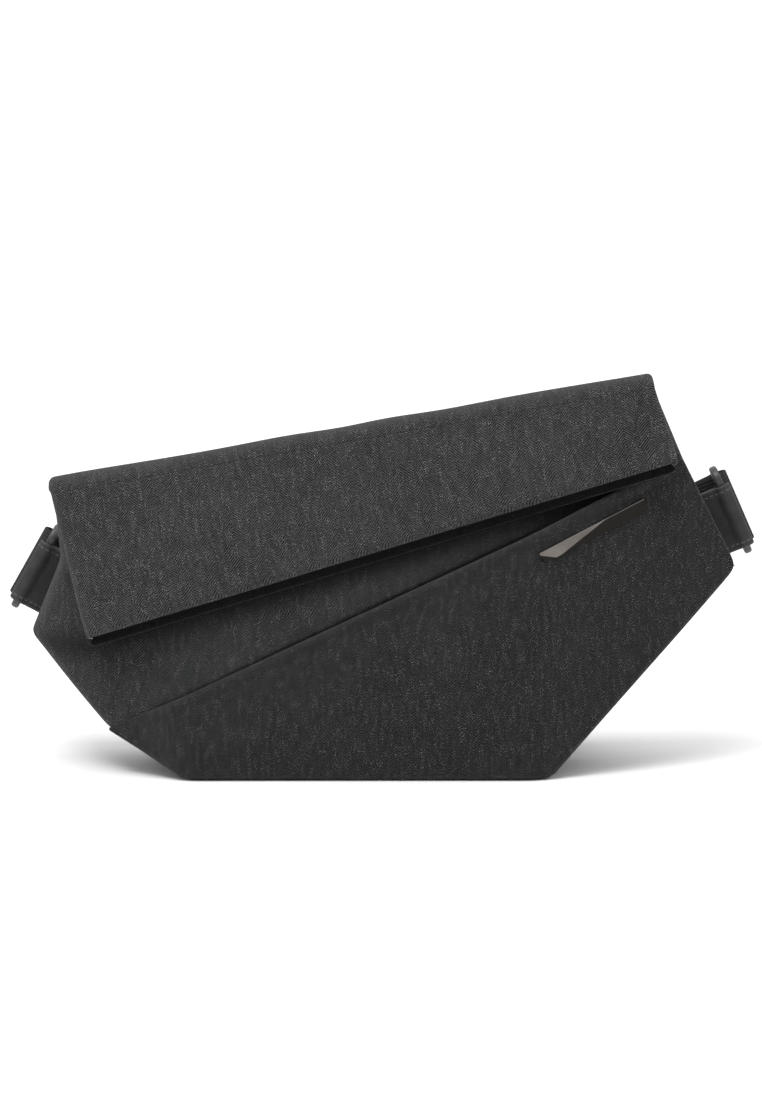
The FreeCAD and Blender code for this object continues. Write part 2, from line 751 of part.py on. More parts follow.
def make_ring(label, place):
    # a flat ring of square bars, standing back from the bar that the tab holds
    body = new_body(label, place)
    reach, bar = "(strap_width / 2 + ring_gap)", "(ring_bar / 2)"
    outer = [(f"-{bar}", f"-{reach} - ring_bar"), (f"ring_depth + {bar}", f"-{reach} - ring_bar"),
             (f"ring_depth + {bar}", f"{reach} + ring_bar"), (f"-{bar}", f"{reach} + ring_bar")]
    plate = pad(body, polygon(body, "YZ", outer, f"-{bar}"), "ring_bar")
    inner = [(bar, f"-{reach}"), (f"ring_depth - {bar}", f"-{reach}"),
             (f"ring_depth - {bar}", reach), (bar, reach)]
    window = pocket(body, polygon(body, "YZ", inner, f"-{bar}"), "ring_bar")
    doc.recompute()
    solid = window.Shape
    corners = []
    reach_value = (sheet.strap_width / 2 + sheet.ring_gap + sheet.ring_bar)
    for i, edge in enumerate(solid.Edges, start=1):
        ends = [vertex.Point for vertex in edge.Vertexes]
        along = abs(ends[0].x - ends[1].x) > 0.5 * sheet.ring_bar
        if along and abs(abs(ends[0].z) - reach_value) < 0.01:
            corners.append(f"Edge{i}")
    rounding = body.newObject("PartDesign::Fillet", "rounding")
    rounding.Base = (window, corners)
    rounding.setExpression("Radius", bound("ring_corner"))


# ---- shoulder strap, lying behind the bag on its edge ----------------------------------------------

right_run_y = "(left_run_y + 2 * turn_right_radius - 2 * turn_left_radius)"
middle_y = "(left_run_y + 2 * turn_right_radius)"
end_y = f"({bar_y} + ring_depth)"


def run_frame(side, x, z, lean, run_y):
    # starts past the looped end; the run turns a little so that it meets the floor part
    reach = "(strap_end + strap_gap)"
    start_x = f"({side} * {x} - {side} * {reach} * cos({lean}))"
    start_z = f"({z} - {reach} * sin({lean}))"
    span = f"(turn_x + {side} * {start_x})"
    yaw = f"(-{side} * atan(({run_y} - {end_y}) / {span}))"
    return start_x, start_z, span, yaw


def make_run(label, side, x, z, lean, run_y):
    # a band that slopes down to the floor and goes on along it
    start_x, start_z, span, yaw = run_frame(side, x, z, lean, run_y)
    body = new_body(label, move(start_x, end_y, start_z) + " * " + turn("z", yaw))
    half_rise, half_reach = f"(strap_width / 2 * cos({lean}))", f"(strap_width / 2 * sin({lean}))"
    drop = f"({start_z} - strap_width / 2)"
    landing = f"({drop} / tan({lean}))"
    mitre = f"(strap_width / 2 * tan({lean} / 2))"
    length = f"({span} / cos({yaw}) - seam)"
    s = -side
    points = [(f"-{s} * {half_reach}", f"-{half_rise}"),
              (f"{s} * ({landing} - {mitre})", f"-{drop} - strap_width / 2"),
              (f"{s} * {length}", f"-{drop} - strap_width / 2"),
              (f"{s} * {length}", f"-{drop} + strap_width / 2"),
              (f"{s} * ({landing} + {mitre})", f"-{drop} + strap_width / 2"),
              (f"{s} * {half_reach}", half_rise)]
    pad(body, polygon(body, "XZ", points, "-webbing / 2"), "webbing")


def make_turn(label, x, y, radius, angle):
    # half a turn of webbing standing on its edge
    body = new_body(label, move(x, y, "0") + " * " + turn("z", angle))
    outline = polygon(body, "XZ", [(f"{radius} - webbing / 2", "0"), (f"{radius} + webbing / 2", "0"),
                                   (f"{radius} + webbing / 2", "strap_width"),
                                   (f"{radius} - webbing / 2", "strap_width")])
    revolve(body, outline, "Z", "180")


def make_strap():
    for label, place, side in (("strap_end_left", left_side, -1), ("strap_end_right", right_side, 1)):
        looped_end(label, place, side, "ring_depth", "strap_end", "webbing", "strap_width", "strap_loop")
    make_run("strap_run_left", -1, "left_ring_x", "left_ring_z", "left_lean", "left_run_y")
    make_run("strap_run_right", 1, "right_ring_x", "right_ring_z", "right_lean", right_run_y)
    make_turn("strap_turn_right", "turn_x", "left_run_y + turn_right_radius", "turn_right_radius",
              "-90")
    make_turn("strap_turn_left", "-turn_x", f"{middle_y} - turn_left_radius", "turn_left_radius",
              "90")
    middle = new_body("strap_middle")
    block(middle, ("-turn_x", f"{middle_y} - webbing / 2", "0"),
          ("turn_x", f"{middle_y} + webbing / 2", "strap_width"))


left_start_x, left_start_z, left_span, left_yaw = run_frame(
    -1, "left_ring_x", "left_ring_z", "left_lean", "left_run_y")
left_band = " * ".join([move(left_start_x, end_y, left_start_z), turn("z", left_yaw),
                        turn("y", "left_lean")])


def make_adjuster():
    # outer bars in front of the webbing, the middle bar behind it, rails past its two edges
    body = new_body("strap_adjuster", left_band)
    face = "(webbing / 2 + adjuster_gap)"
    edge = "(strap_width / 2 + adjuster_gap)"
    start, end = "adjuster_start", "(adjuster_start + adjuster_length)"
    for low, high in ((f"-{edge} - adjuster_rail", f"-{edge}"), (edge, f"{edge} + adjuster_rail")):
        block(body, (start, f"-{face} - adjuster_thick", low), (end, f"{face} + adjuster_thick", high))
    middle = "(adjuster_start + adjuster_length / 2 - adjuster_bar / 2)"
    front = f"-{face} - adjuster_thick"
    for x, y in ((start, front), (f"({end} - adjuster_bar)", front), (middle, face)):
        block(body, (x, y, f"-{edge}"), (f"{x} + adjuster_bar", f"{y} + adjuster_thick", edge))


def make_keeper():
    # a closed loop of elastic round the webbing
    body = new_body("strap_keeper", left_band)
    face, edge = "(webbing / 2 + adjuster_gap)", "(strap_width / 2 + adjuster_gap)"
    start = "keeper_start"
    block(body, (start, f"-{face} - keeper_wall", f"-{edge} - keeper_wall"),
          (f"{start} + keeper_length", f"{face} + keeper_wall", f"{edge} + keeper_wall"))
    window = polygon(body, "YZ", [(f"-{face}", f"-{edge}"), (face, f"-{edge}"), (face, edge),
                                  (f"-{face}", edge)], start)
    pocket(body, window, "keeper_length")


# ---- build -------------------------------------------------------------------------------------

make_front_panel()
make_back_panel()
make_lower_gusset("left_lower_gusset", ["left_tip", "left_shoulder", "left_kink", "left_base"])
make_lower_gusset("bottom_panel", ["left_base", "corner", "right_base"])
make_lower_gusset("right_lower_gusset", ["right_base", "right_shoulder", "right_tip"])
make_upper_gusset("left_upper_gusset", "left_shoulder", "left_tip", "wing_seam")
make_upper_gusset("right_upper_gusset", "right_shoulder", "right_tip", "wing_seam")
make_neck()
make_neck_side("neck_left", -1, "left_shoulder", "left_kink", neck_foot_left, "-fold_left")
make_neck_side("neck_right", 1, "right_shoulder", "corner", neck_foot_right, "fold_right")
make_fold("top_fold_outer", "fold_radius")
make_fold("top_fold_inner", "fold_core")
make_flap_layer("flap_outer", outer_back)
make_flap_layer("flap_inner", inner_back)
make_flap_edge("flap_edge_left", -1, "-fold_left", hem_left, "flap_left_drop")
make_flap_edge("flap_edge_right", 1, "fold_right", hem_right, "flap_right_drop")
make_stiffener("mouth_stiffener_outer", f"{outer_back} + stiffener")
make_stiffener("mouth_stiffener_inner", f"{inner_back} - fabric")
make_magnets("mouth_magnets_outer", f"{outer_back} + stiffener + magnet_thick")
make_magnets("mouth_magnets_inner", f"{inner_back} - fabric - stiffener")
make_pocket_panel()
make_pocket_gusset()
make_pocket_hem()
make_tape("zip_tape_front", flat_pocket_y, -1)
make_tape("zip_tape_back", flat_front_y, 1)
make_coil("zip_coil_front", -1)
make_coil("zip_coil_back", 1)
make_zip_stops()
make_slider()
make_pull()
make_badge()
make_badge_prongs()
make_badge_backplate()
make_boards_and_lining()
make_divider()
make_back_padding()
for label, place, side in (("tab_left", left_side, -1), ("tab_right", right_side, 1)):
    looped_end(label, place, side, "0", "tab_root", "leather", "tab_width", "tab_loop", "tab_offset")
make_ring("ring_left", left_side)
make_ring("ring_right", right_side)
make_strap()
make_adjuster()
make_keeper()
doc.recompute()

faults = [f"{o.Name} {o.State}" for o in doc.Objects if "Invalid" in o.State or "Error" in o.State]
for node in nodes:
    if node.Shape.isNull() or not node.Shape.isValid() or not node.Shape.Solids:
        faults.append(f"{node.Label} has no valid solid")
if faults:
    raise RuntimeError("; ".join(faults))
os.makedirs("parts", exist_ok=True)
for node in nodes:
    node.Shape.exportStep(f"parts/{node.Label}.step")
    print(node.Label, len(node.Shape.Solids), round(node.Shape.Volume / 1000, 2))
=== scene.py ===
import math
import bpy
import bmesh
import numpy as np
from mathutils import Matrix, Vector


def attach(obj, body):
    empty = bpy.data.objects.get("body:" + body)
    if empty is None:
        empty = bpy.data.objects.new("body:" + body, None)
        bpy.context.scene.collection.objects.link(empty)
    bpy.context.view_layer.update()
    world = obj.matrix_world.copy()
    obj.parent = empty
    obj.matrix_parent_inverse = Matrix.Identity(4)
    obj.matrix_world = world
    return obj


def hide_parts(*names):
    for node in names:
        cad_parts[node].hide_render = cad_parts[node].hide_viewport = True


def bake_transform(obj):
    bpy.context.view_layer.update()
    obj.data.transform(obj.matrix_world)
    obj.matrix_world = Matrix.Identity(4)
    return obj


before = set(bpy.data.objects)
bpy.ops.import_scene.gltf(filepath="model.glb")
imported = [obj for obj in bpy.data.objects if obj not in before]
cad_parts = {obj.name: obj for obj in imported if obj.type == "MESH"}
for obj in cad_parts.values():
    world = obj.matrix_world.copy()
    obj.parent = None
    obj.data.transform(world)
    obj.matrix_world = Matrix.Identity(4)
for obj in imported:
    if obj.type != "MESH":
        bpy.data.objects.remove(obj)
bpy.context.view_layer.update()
print("frame loaded:", len(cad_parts), "nodes")

mm = 0.001
scene = bpy.context.scene


# camera and light

view = {
    "target": (0.0073, 0.0, 0.121),
    "distance": 2.5,
    "elevation": 8.0,
    "lens": 149.0,
}
light = {
    "level": 0.42, "ceiling": 1.15,        # brightness of the room at eye level and overhead
    "keyPower": 9.0, "keySize": 0.6, "keyFrom": (-0.75, -0.95, 1.75),
    "skyPower": 1.15, "skySpread": 32, "skyFrom": (-0.16, -0.34, 1.0),
}


def aimed(name, data, place, line, axis="-Z"):
    # puts a camera or a lamp in its place, with its axis along the line
    thing = bpy.data.objects.new(name, data)
    scene.collection.objects.link(thing)
    thing.location = place
    thing.rotation_mode = "QUATERNION"
    thing.rotation_quaternion = line.to_track_quat(axis, "Y")
    return thing


def makeCamera():
    data = bpy.data.cameras.new("camera")
    data.lens, data.sensor_width = view["lens"], 36
    data.clip_start, data.clip_end = 0.05, 80
    rise = math.radians(view["elevation"])
    back = Vector((0, -math.cos(rise), math.sin(rise)))
    scene.camera = aimed("camera", data, Vector(view["target"]) + back * view["distance"], -back)


def makeLights():
    key, sky = bpy.data.lights.new("keyLight", "AREA"), bpy.data.lights.new("skyLight", "SUN")
    key.shape, key.size, key.energy = "DISK", light["keySize"], light["keyPower"]
    sky.energy, sky.angle = light["skyPower"], math.radians(light["skySpread"])
    aimed("keyLight", key, light["keyFrom"], Vector(view["target"]) - Vector(light["keyFrom"]))
    aimed("skyLight", sky, (0, 0, 0), Vector(light["skyFrom"]), "Z")


makeCamera()
makeLights()


def makeRoom():
    # a white room, brighter overhead than at eye level
    room = bpy.data.worlds.new("room")
    room.use_nodes = True
    nodes, links = room.node_tree.nodes, room.node_tree.links
    place, apart = nodes.new("ShaderNodeTexCoord"), nodes.new("ShaderNodeSeparateXYZ")
    share = nodes.new("ShaderNodeMapRange")
    share.interpolation_type = "SMOOTHSTEP"
    links.new(place.outputs["Generated"], apart.inputs[0])
    links.new(apart.outputs[2], share.inputs["Value"])
    for socket, value in zip((1, 2, 3, 4), (0.0, 0.9, light["level"], light["ceiling"])):
        share.inputs[socket].default_value = value
    links.new(share.outputs[0], nodes["Background"].inputs["Strength"])
    nodes["Background"].inputs["Color"].default_value = (1, 1, 1, 1)
    scene.world = room


makeRoom()
scene.view_settings.view_transform = "Standard"
print("camera and lights placed")


# shader expressions

class Wire:
    # one output socket; arithmetic on it adds Math nodes
    def __init__(self, finish, socket):
        self.finish, self.socket = finish, socket

    def math(self, operation, *values):
        return self.finish.node("Math", {"operation": operation}, dict(enumerate(values)))

    def __add__(self, other): return self.math("ADD", self, other)
    def __radd__(self, other): return self.math("ADD", other, self)
    def __sub__(self, other): return self.math("SUBTRACT", self, other)
    def __rsub__(self, other): return self.math("SUBTRACT", other, self)
    def __mul__(self, other): return self.math("MULTIPLY", self, other)
    def __rmul__(self, other): return self.math("MULTIPLY", other, self)
    def __truediv__(self, other): return self.math("DIVIDE", self, other)
    def __pow__(self, other): return self.math("POWER", self, other)
    def sine(self): return self.math("SINE", self)
    def size(self): return self.math("ABSOLUTE", self)
    def folded(self, width): return self.math("PINGPONG", self, width)
    def repeated(self, width): return self.math("MODULO", self.math("ADD", self, 1000 * width), width)
    def most(self, other): return self.math("MAXIMUM", self, other)
    def least(self, other): return self.math("MINIMUM", self, other)

    def ramped(self, low, high):
        return self.finish.node("MapRange", {"interpolation_type": "SMOOTHSTEP"},
                                {0: self, 1: low, 2: high, 3: 0.0, 4: 1.0})


class Finish:
    def __init__(self, name):
        self.material = bpy.data.materials.new(name)
        self.material.use_nodes = True
        self.tree = self.material.node_tree
        self.shader = self.tree.nodes["Principled BSDF"]

    def fill(self, socket, value):
        # a wire is linked, a colour gets its fourth number
        if isinstance(value, Wire):
            self.tree.links.new(value.socket, socket)
        else:
            socket.default_value = (*value, 1.0) if socket.type == "RGBA" else value

    def node(self, kind, settings=None, inputs=None, out=0):
        made = self.tree.nodes.new("ShaderNode" + kind)
        for key, value in (settings or {}).items():
            setattr(made, key, value)
        for key, value in (inputs or {}).items():
            self.fill(made.inputs[key], value)
        return Wire(self, made.outputs[out])

    def axes(self, place):
        apart = self.node("SeparateXYZ", {}, {0: place})
        return [Wire(self, socket) for socket in apart.socket.node.outputs]

    def weave(self):
        # the piece's own cloth coordinates, in metres: across and along
        return self.axes(self.node("UVMap", {"uv_map": "weave"}))[:2]

    def objectPlace(self, turn=(0, 0, 0), centre=(0, 0, 0)):
        place = self.node("TexCoord", out=3)
        return self.node("Mapping", {"vector_type": "TEXTURE"},
                         {"Vector": place, "Rotation": turn, "Location": centre})

    def vector(self, x, y, z=0.0):
        return self.node("CombineXYZ", {}, {0: x, 1: y, 2: z})

    def noise(self, place, scale, detail=2.0, rough=0.5):
        return self.node("TexNoise", {}, {"Vector": place, "Scale": scale, "Detail": detail,
                                          "Roughness": rough})

    def mix(self, share, first, second):
        made = self.tree.nodes.new("ShaderNodeMix")
        made.data_type = "RGBA"
        for number, value in ((0, share), (6, first), (7, second)):
            self.fill(made.inputs[number], value)
        return Wire(self, made.outputs[2])

    def attribute(self, name):
        return self.node("Attribute", {"attribute_name": name}, out=2)

    def surface(self, color, rough, height, depth, **constants):
        bump = self.node("Bump", {}, {"Height": height, "Distance": depth, "Strength": 1.0})
        for key, value in {"Base_Color": color, "Roughness": rough, "Normal": bump, **constants}.items():
            self.fill(self.shader.inputs[key.replace("_", " ")], value)
        return self.material


# fabrics

herringbone = {
    "column": 0.0068,      # width of one band of the zigzag
    "pitch": 0.0015,       # from one diagonal rib to the next
    "steep": 0.95,         # how far a rib climbs for each step across
}


def makeHerringbone(name, dark, light, fleck):
    f = Finish(name)
    across, along = f.weave()
    wander = f.noise(f.vector(across, along), 70.0, 2.0)
    zigzag = across.folded(herringbone["column"])
    phase = (along + zigzag * herringbone["steep"]) / herringbone["pitch"] + (wander - 0.5) * 0.8
    ribs = (phase * (2 * math.pi)).sine() * 0.5 + 0.5
    broken = f.noise(f.vector(across / 0.0011, along / 0.0016, 2.0), 1.0, 1.0)
    yarn = f.noise(f.vector(across / 0.0007, along / 0.0012), 1.0, 2.0, 0.6)
    streak = f.noise(f.vector(across / 0.0022, along / 0.014, 3.0), 1.0, 2.0, 0.5)
    cloud = f.noise(f.vector(across / 0.03, along / 0.05, 7.0), 1.0, 2.0, 0.5)
    wearAndShade = f.attribute("wearAndShade")
    tone = ribs * (0.6 + broken * 0.5) + (yarn - 0.5) * 1.7 + (streak - 0.5) * 0.6 + (cloud - 0.5) * 0.35
    cloth = f.mix((tone + 0.08).ramped(-0.05, 1.15), dark, light)
    dots = f.noise(f.vector(across / 0.00048, along / 0.0006, 11.0), 1.0, 0.0, 0.5)
    thread = f.noise(f.vector(across / 0.0026, along / 0.0085, 5.0), 1.0, 1.0, 0.5)
    flecks = dots.ramped(0.60, 0.78) * (thread.ramped(0.40, 0.70) * 0.8 + 0.15)
    cloth = f.mix(flecks * 0.8, cloth, fleck)
    cloth = f.mix(wearAndShade.ramped(0.0, 1.0) * 0.30, cloth, tuple(1.3 * c for c in light))
    # negative values darken the cloth as painted shade: inside the hems of the flap and the pocket, and on
    # the body under the flap's hem
    cloth = f.mix((0.0 - wearAndShade).most(0.0).least(1.0), cloth, tuple(0.4 * c for c in dark))
    height = ribs * 0.7 + yarn * 0.5 + flecks * 0.5
    return f.surface(cloth, 0.94 - ribs * 0.06, height, 0.0003, Specular_IOR_Level=0.10,
                     Sheen_Weight=0.08, Sheen_Roughness=0.5)


def makeWebbing(name, dark, light, rib, pitch, depth):
    # lengthwise ribs crossed by short weft ridges that step from rib to rib
    f = Finish(name)
    across, along = f.weave()
    ribs = (across * (2 * math.pi / rib)).sine() * 0.5 + 0.5
    step = across.folded(rib * 2) * 0.8
    weft = ((along + step) * (2 * math.pi / pitch)).sine() * 0.5 + 0.5
    fuzz = f.noise(f.vector(across / 0.0005, along / 0.0015), 1.0, 2.0)
    tone = ribs * 0.4 + weft * 0.35 + (fuzz - 0.5) * 0.9 + 0.15
    return f.surface(f.mix(tone.ramped(0.0, 1.0), dark, light), 0.78 + fuzz * 0.15,
                     ribs * 0.8 + weft * 0.5 + fuzz * 0.3, depth, Specular_IOR_Level=0.2)


def makeLeather(name, dark, light, stitch, hem):
    # fine grain, with a line of stitches near both long edges
    f = Finish(name)
    across, along = f.weave()
    place = f.vector(across, along)
    grain = f.node("TexVoronoi", {"feature": "DISTANCE_TO_EDGE"}, {"Vector": place, "Scale": 1100.0})
    mottle = f.noise(place, 160.0, 4.0)
    edge = across.size()
    line = 1 - (edge - hem).size().ramped(0.0003, 0.0006)
    dash = (along.repeated(0.0032) - 0.0016).size().ramped(0.0013, 0.0009)
    thread = line * dash
    groove = 1 - (edge - hem).size().ramped(0.0004, 0.0013)
    rub = edge.ramped(hem + 0.0012, hem + 0.0030)
    tone = mottle.ramped(0.3, 0.7) * 0.6 + rub * 0.8
    color = f.mix(thread, f.mix(tone, dark, light), stitch)
    height = grain.ramped(0.0, 0.25) * 0.12 + thread * 0.8 - groove * 0.6 + mottle * 0.15
    return f.surface(color, 0.50 + mottle * 0.16 - rub * 0.08, height, 0.0004,
                     Specular_IOR_Level=0.35)


def makePlainWeave(name, dark, light, pitch, depth=0.00015):
    f = Finish(name)
    x, y, z = f.axes(f.objectPlace())
    warp = ((x + y) * (2 * math.pi / pitch)).sine()
    weft = (z * (2 * math.pi / pitch)).sine()
    checks = warp * weft * 0.5 + 0.5
    fuzz = f.noise(f.objectPlace(), 700.0, 3.0)
    tone = checks * 0.6 + (fuzz - 0.5) * 0.9 + 0.2
    return f.surface(f.mix(tone.ramped(0.0, 1.0), dark, light), 0.85 + fuzz * 0.1,
                     checks + fuzz * 0.5, depth, Specular_IOR_Level=0.2)


def makeSpacerMesh(name, dark, light, cell):
    # rows of small open eyes, every second row shifted by half
    f = Finish(name)
    x, z = f.axes(f.objectPlace())[::2]
    row = (z / (cell * 0.86)).math("FLOOR", z / (cell * 0.86))
    shifted = x + row * (cell / 2)
    dx = (shifted.repeated(cell) - cell / 2) / cell
    dz = (z.repeated(cell * 0.86) - cell * 0.43) / cell
    reach = (dx * dx + dz * dz) ** 0.5
    eye = 1 - reach.ramped(0.20, 0.34)
    fuzz = f.noise(f.objectPlace(), 900.0, 3.0)
    tone = (1 - eye) * 0.75 + (fuzz - 0.5) * 0.6 + 0.05
    return f.surface(f.mix(tone.ramped(0.0, 0.9), dark, light), 0.88 + fuzz * 0.1,
                     fuzz * 0.25 - eye, 0.0006, Specular_IOR_Level=0.15)


def makeFoam(name, dark, light):
    f = Finish(name)
    place = f.objectPlace()
    cells = f.node("TexVoronoi", {}, {"Vector": place, "Scale": 900.0})
    cloud = f.noise(place, 60.0, 3.0)
    return f.surface(f.mix(cells.ramped(0.1, 0.6) * 0.6 + cloud * 0.4, dark, light),
                     0.9 - cells * 0.1, cells, 0.0003, Specular_IOR_Level=0.2)


# metals and boards

badgeTilt = math.atan(0.4706)
# the badge's painted reflection, darker past two slanting edges, and its painted highlight along the upper
# rim
paintedBadgeLight = {
    "centre": (0.1225, 0, 0.1347),
    "slant": 4.9, "edge": (-0.0055, -0.0035),            # darker past this slanting edge
    "endSlant": 1.5, "endEdge": (-0.0282, -0.0292),      # and past this one, at the low end
    "share": 0.96, "dark": 0.16, "rim": (0.0024, 0.0028), "highlightShare": 0.5,
}


def makeMetal(name, dark, light, rough, metallic, turn=(0, 0, 0), brush=0.0, depth=0.00003, centre=None):
    # fine lines along the piece where it is brushed, and small rubbed patches; with a centre, one part is
    # darkened as a painted reflection and the upper rim lightened as a painted highlight
    f = Finish(name)
    place = f.objectPlace(turn, centre or (0, 0, 0))
    x, y, z = f.axes(place)
    lines = f.noise(f.vector(x * 60, y * 60, z * 6000), 1.0, 3.0, 0.6)
    spots = f.noise(place, 420.0, 4.0, 0.65)
    rubbed = f.noise(place, 55.0, 3.0)
    tone = spots * (0.7 - brush * 0.4) + lines * brush + (rubbed - 0.5) * 0.6
    color = f.mix(tone.ramped(0.15, 0.85), dark, light)
    if centre:
        # painted reflection: darker past two slanting edges; painted highlight: lighter along the upper
        # rim
        darkReflection = (x - z * paintedBadgeLight["slant"]).ramped(*paintedBadgeLight["edge"])
        darkReflection = darkReflection.most((x + z * paintedBadgeLight["endSlant"]).ramped(*paintedBadgeLight["endEdge"]))
        color = f.mix(darkReflection * paintedBadgeLight["share"], color, tuple(paintedBadgeLight["dark"] * c for c in dark))
        color = f.mix(z.ramped(*paintedBadgeLight["rim"]) * paintedBadgeLight["highlightShare"], color, light)
    roughness = rough + (spots - 0.5) * 0.16 + (lines - 0.5) * (0.25 * brush)
    return f.surface(color, roughness, spots * (1 - brush) + lines * brush, depth, Metallic=metallic)


def makeBoard(name, dark, light):
    f = Finish(name)
    place = f.objectPlace()
    specks = f.noise(place, 1500.0, 3.0)
    fibres = f.noise(place, 120.0, 5.0)
    return f.surface(f.mix(specks * 0.5 + fibres * 0.5, dark, light), 0.75 + specks * 0.15,
                     specks, 0.0001, Specular_IOR_Level=0.25)


finishes = {
    # one cloth in three copies: the roll's copy is lighter as painted light and the pocket's darker as
    # painted shade, for how the light falls on each
    "shell_fabric": makeHerringbone("shellCloth", (0.004, 0.004, 0.0042), (0.050, 0.050, 0.051),
                                    (0.30, 0.30, 0.305)),
    "roll_fabric": makeHerringbone("rollClothPaintedLight", (0.004, 0.004, 0.0042), (0.062, 0.062, 0.0632),
                                   (0.36, 0.36, 0.365)),
    "pocket_fabric": makeHerringbone("pocketClothPaintedShade", (0.003, 0.003, 0.0031), (0.034, 0.0337, 0.034),
                                     (0.25, 0.25, 0.255)),
    "webbing": makeWebbing("strapWebbing", (0.010, 0.010, 0.0105), (0.045, 0.045, 0.047),
                           0.0019, 0.0013, 0.0003),
    "elastic": makePlainWeave("keeperElastic", (0.008, 0.008, 0.008), (0.035, 0.035, 0.036), 0.0011),
    "tab_leather": makeLeather("tabLeather", (0.020, 0.020, 0.021), (0.036, 0.036, 0.038),
                               (0.075, 0.075, 0.078), 0.0153),
    "lining": makePlainWeave("liningWeave", (0.050, 0.050, 0.054), (0.12, 0.12, 0.127), 0.0009),
    "padding": makePlainWeave("dividerCloth", (0.04, 0.04, 0.043), (0.10, 0.10, 0.105), 0.0014, 0.0003),
    "foam": makeFoam("backFoam", (0.012, 0.012, 0.013), (0.03, 0.03, 0.033)),
    "mesh": makeSpacerMesh("spacerMesh", (0.006, 0.006, 0.0065), (0.045, 0.045, 0.048), 0.0032),
    "board": makeBoard("stiffBoard", (0.03, 0.03, 0.03), (0.08, 0.08, 0.08)),
    "magnet": makeMetal("magnetPlate", (0.35, 0.35, 0.36), (0.6, 0.6, 0.6), 0.3, 1.0),
    "zip_tape": makePlainWeave("zipTape", (0.006, 0.006, 0.006), (0.022, 0.022, 0.022), 0.0008),
    "zip_coil": makeBoard("zipCoil", (0.007, 0.007, 0.007), (0.02, 0.02, 0.02)),
    "zip_metal": makeMetal("zipMetal", (0.02, 0.02, 0.02), (0.06, 0.06, 0.06), 0.4, 0.6),
    "badge_metal": makeMetal("badgeMetal", (0.09, 0.081, 0.074), (0.20, 0.182, 0.167), 0.16, 1.0,
                             (0, -badgeTilt, 0), 0.7, 0.00002, paintedBadgeLight["centre"]),
    "ring_metal": makeMetal("ringMetal", (0.045, 0.045, 0.047), (0.11, 0.11, 0.114), 0.42, 0.35),
}
print("materials made:", len(finishes))


# mesh building

def softened(line, window):
    # a running average along the line that leaves its two ends where they are
    half = window // 2
    padded = np.pad(line, ((half, half), (0, 0)), mode="reflect", reflect_type="odd")
    kernel = np.hanning(window + 2)[1:-1]
    kernel = kernel / kernel.sum()
    return np.stack([np.convolve(column, kernel, mode="valid") for column in padded.T], -1)


def bent(x, knots, values, spread):
    # straight runs between the knots, with their corners rounded over spread on each side
    return np.mean([np.interp(x + s, knots, values) for s in np.linspace(-spread, spread, 9)], axis=0)


def eased(x, low, high):
    t = np.clip((x - low) / (high - low), 0, 1)
    return t * t * (3 - 2 * t)


def between(x, rise, fall):
    # up from 0 to 1 over the first span, down again over the second
    return eased(x, *rise) * (1 - eased(x, *fall))


def looped(rows):
    # each row with its first column repeated at its end
    return np.concatenate([rows, rows[:, :1]], 1)


def unit(rows):
    return rows / np.linalg.norm(rows, axis=-1, keepdims=True)


def distanceAlong(line):
    return np.concatenate([[0], np.cumsum(np.linalg.norm(np.diff(line, axis=0), axis=1))])


def patch(points, uv, closed=False, wearAndShade=None):
    # a grid of points, rows by columns; closed joins the last column to the first
    rows, columns = points.shape[:2]
    r = np.arange(rows - 1)[:, None]
    c = np.arange(columns if closed else columns - 1)[None, :]
    n = (c + 1) % columns
    quads = np.stack([r * columns + c, r * columns + n, (r + 1) * columns + n, (r + 1) * columns + c], -1)
    corners = np.stack([uv[r, c], uv[r, c + 1], uv[r + 1, c + 1], uv[r + 1, c]], -2)
    worn = np.zeros((rows, columns)) if wearAndShade is None else np.broadcast_to(wearAndShade, (rows, columns))
    return points.reshape(-1, 3), quads.reshape(-1, 4), corners.reshape(-1, 2), worn.ravel()


def buildPiece(name, patches, thickness=0.0, body="bag", slot="shell_fabric"):
    # patches in millimetres; doubles are merged and faces turned outwards before a wall is given
    points, quads, corners, worn, first = [], [], [], [], 0
    for p, q, uv, w in patches:
        points.append(p), quads.append(q + first), corners.append(uv), worn.append(w)
        first += len(p)
    data = bpy.data.meshes.new(name)
    data.from_pydata((np.concatenate(points) * mm).tolist(), [], np.concatenate(quads).tolist())
    layer = data.uv_layers.new(name="weave")
    layer.data.foreach_set("uv", (np.concatenate(corners) * mm).astype(np.float32).ravel())
    wearAndShade = data.attributes.new("wearAndShade", "FLOAT", "POINT")
    wearAndShade.data.foreach_set("value", np.concatenate(worn).astype(np.float32))
    work = bmesh.new()
    work.from_mesh(data)
    bmesh.ops.remove_doubles(work, verts=work.verts, dist=2e-5)
    bmesh.ops.dissolve_degenerate(work, edges=work.edges, dist=1e-6)
    bmesh.ops.recalc_face_normals(work, faces=work.faces)
    work.to_mesh(data)
    work.free()
    size, facing, place = (np.empty(len(data.polygons) * n) for n in (1, 3, 3))
    for key, values in (("area", size), ("normal", facing), ("center", place)):
        data.polygons.foreach_get(key, values)
    place = place.reshape(-1, 3) - place.reshape(-1, 3).mean(0)
    if (size * (facing.reshape(-1, 3) * place).sum(1)).sum() < 0:
        data.flip_normals()
        print("turned outwards:", name)
    data.shade_smooth()
    piece = bpy.data.objects.new(name, data)
    scene.collection.objects.link(piece)
    data.materials.append(finishes[slot])
    if thickness:
        wall = piece.modifiers.new("wall", "SOLIDIFY")
        wall.thickness, wall.offset = thickness * mm, -1
    if body:
        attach(piece, body)
    return piece


def applyModifiers(piece):
    shown = piece.evaluated_get(bpy.context.evaluated_depsgraph_get())
    made = bpy.data.meshes.new_from_object(shown)
    piece.modifiers.clear()
    piece.data = made


def readPoints(data):
    place = np.empty(len(data.vertices) * 3)
    data.vertices.foreach_get("co", place)
    return place.reshape(-1, 3)


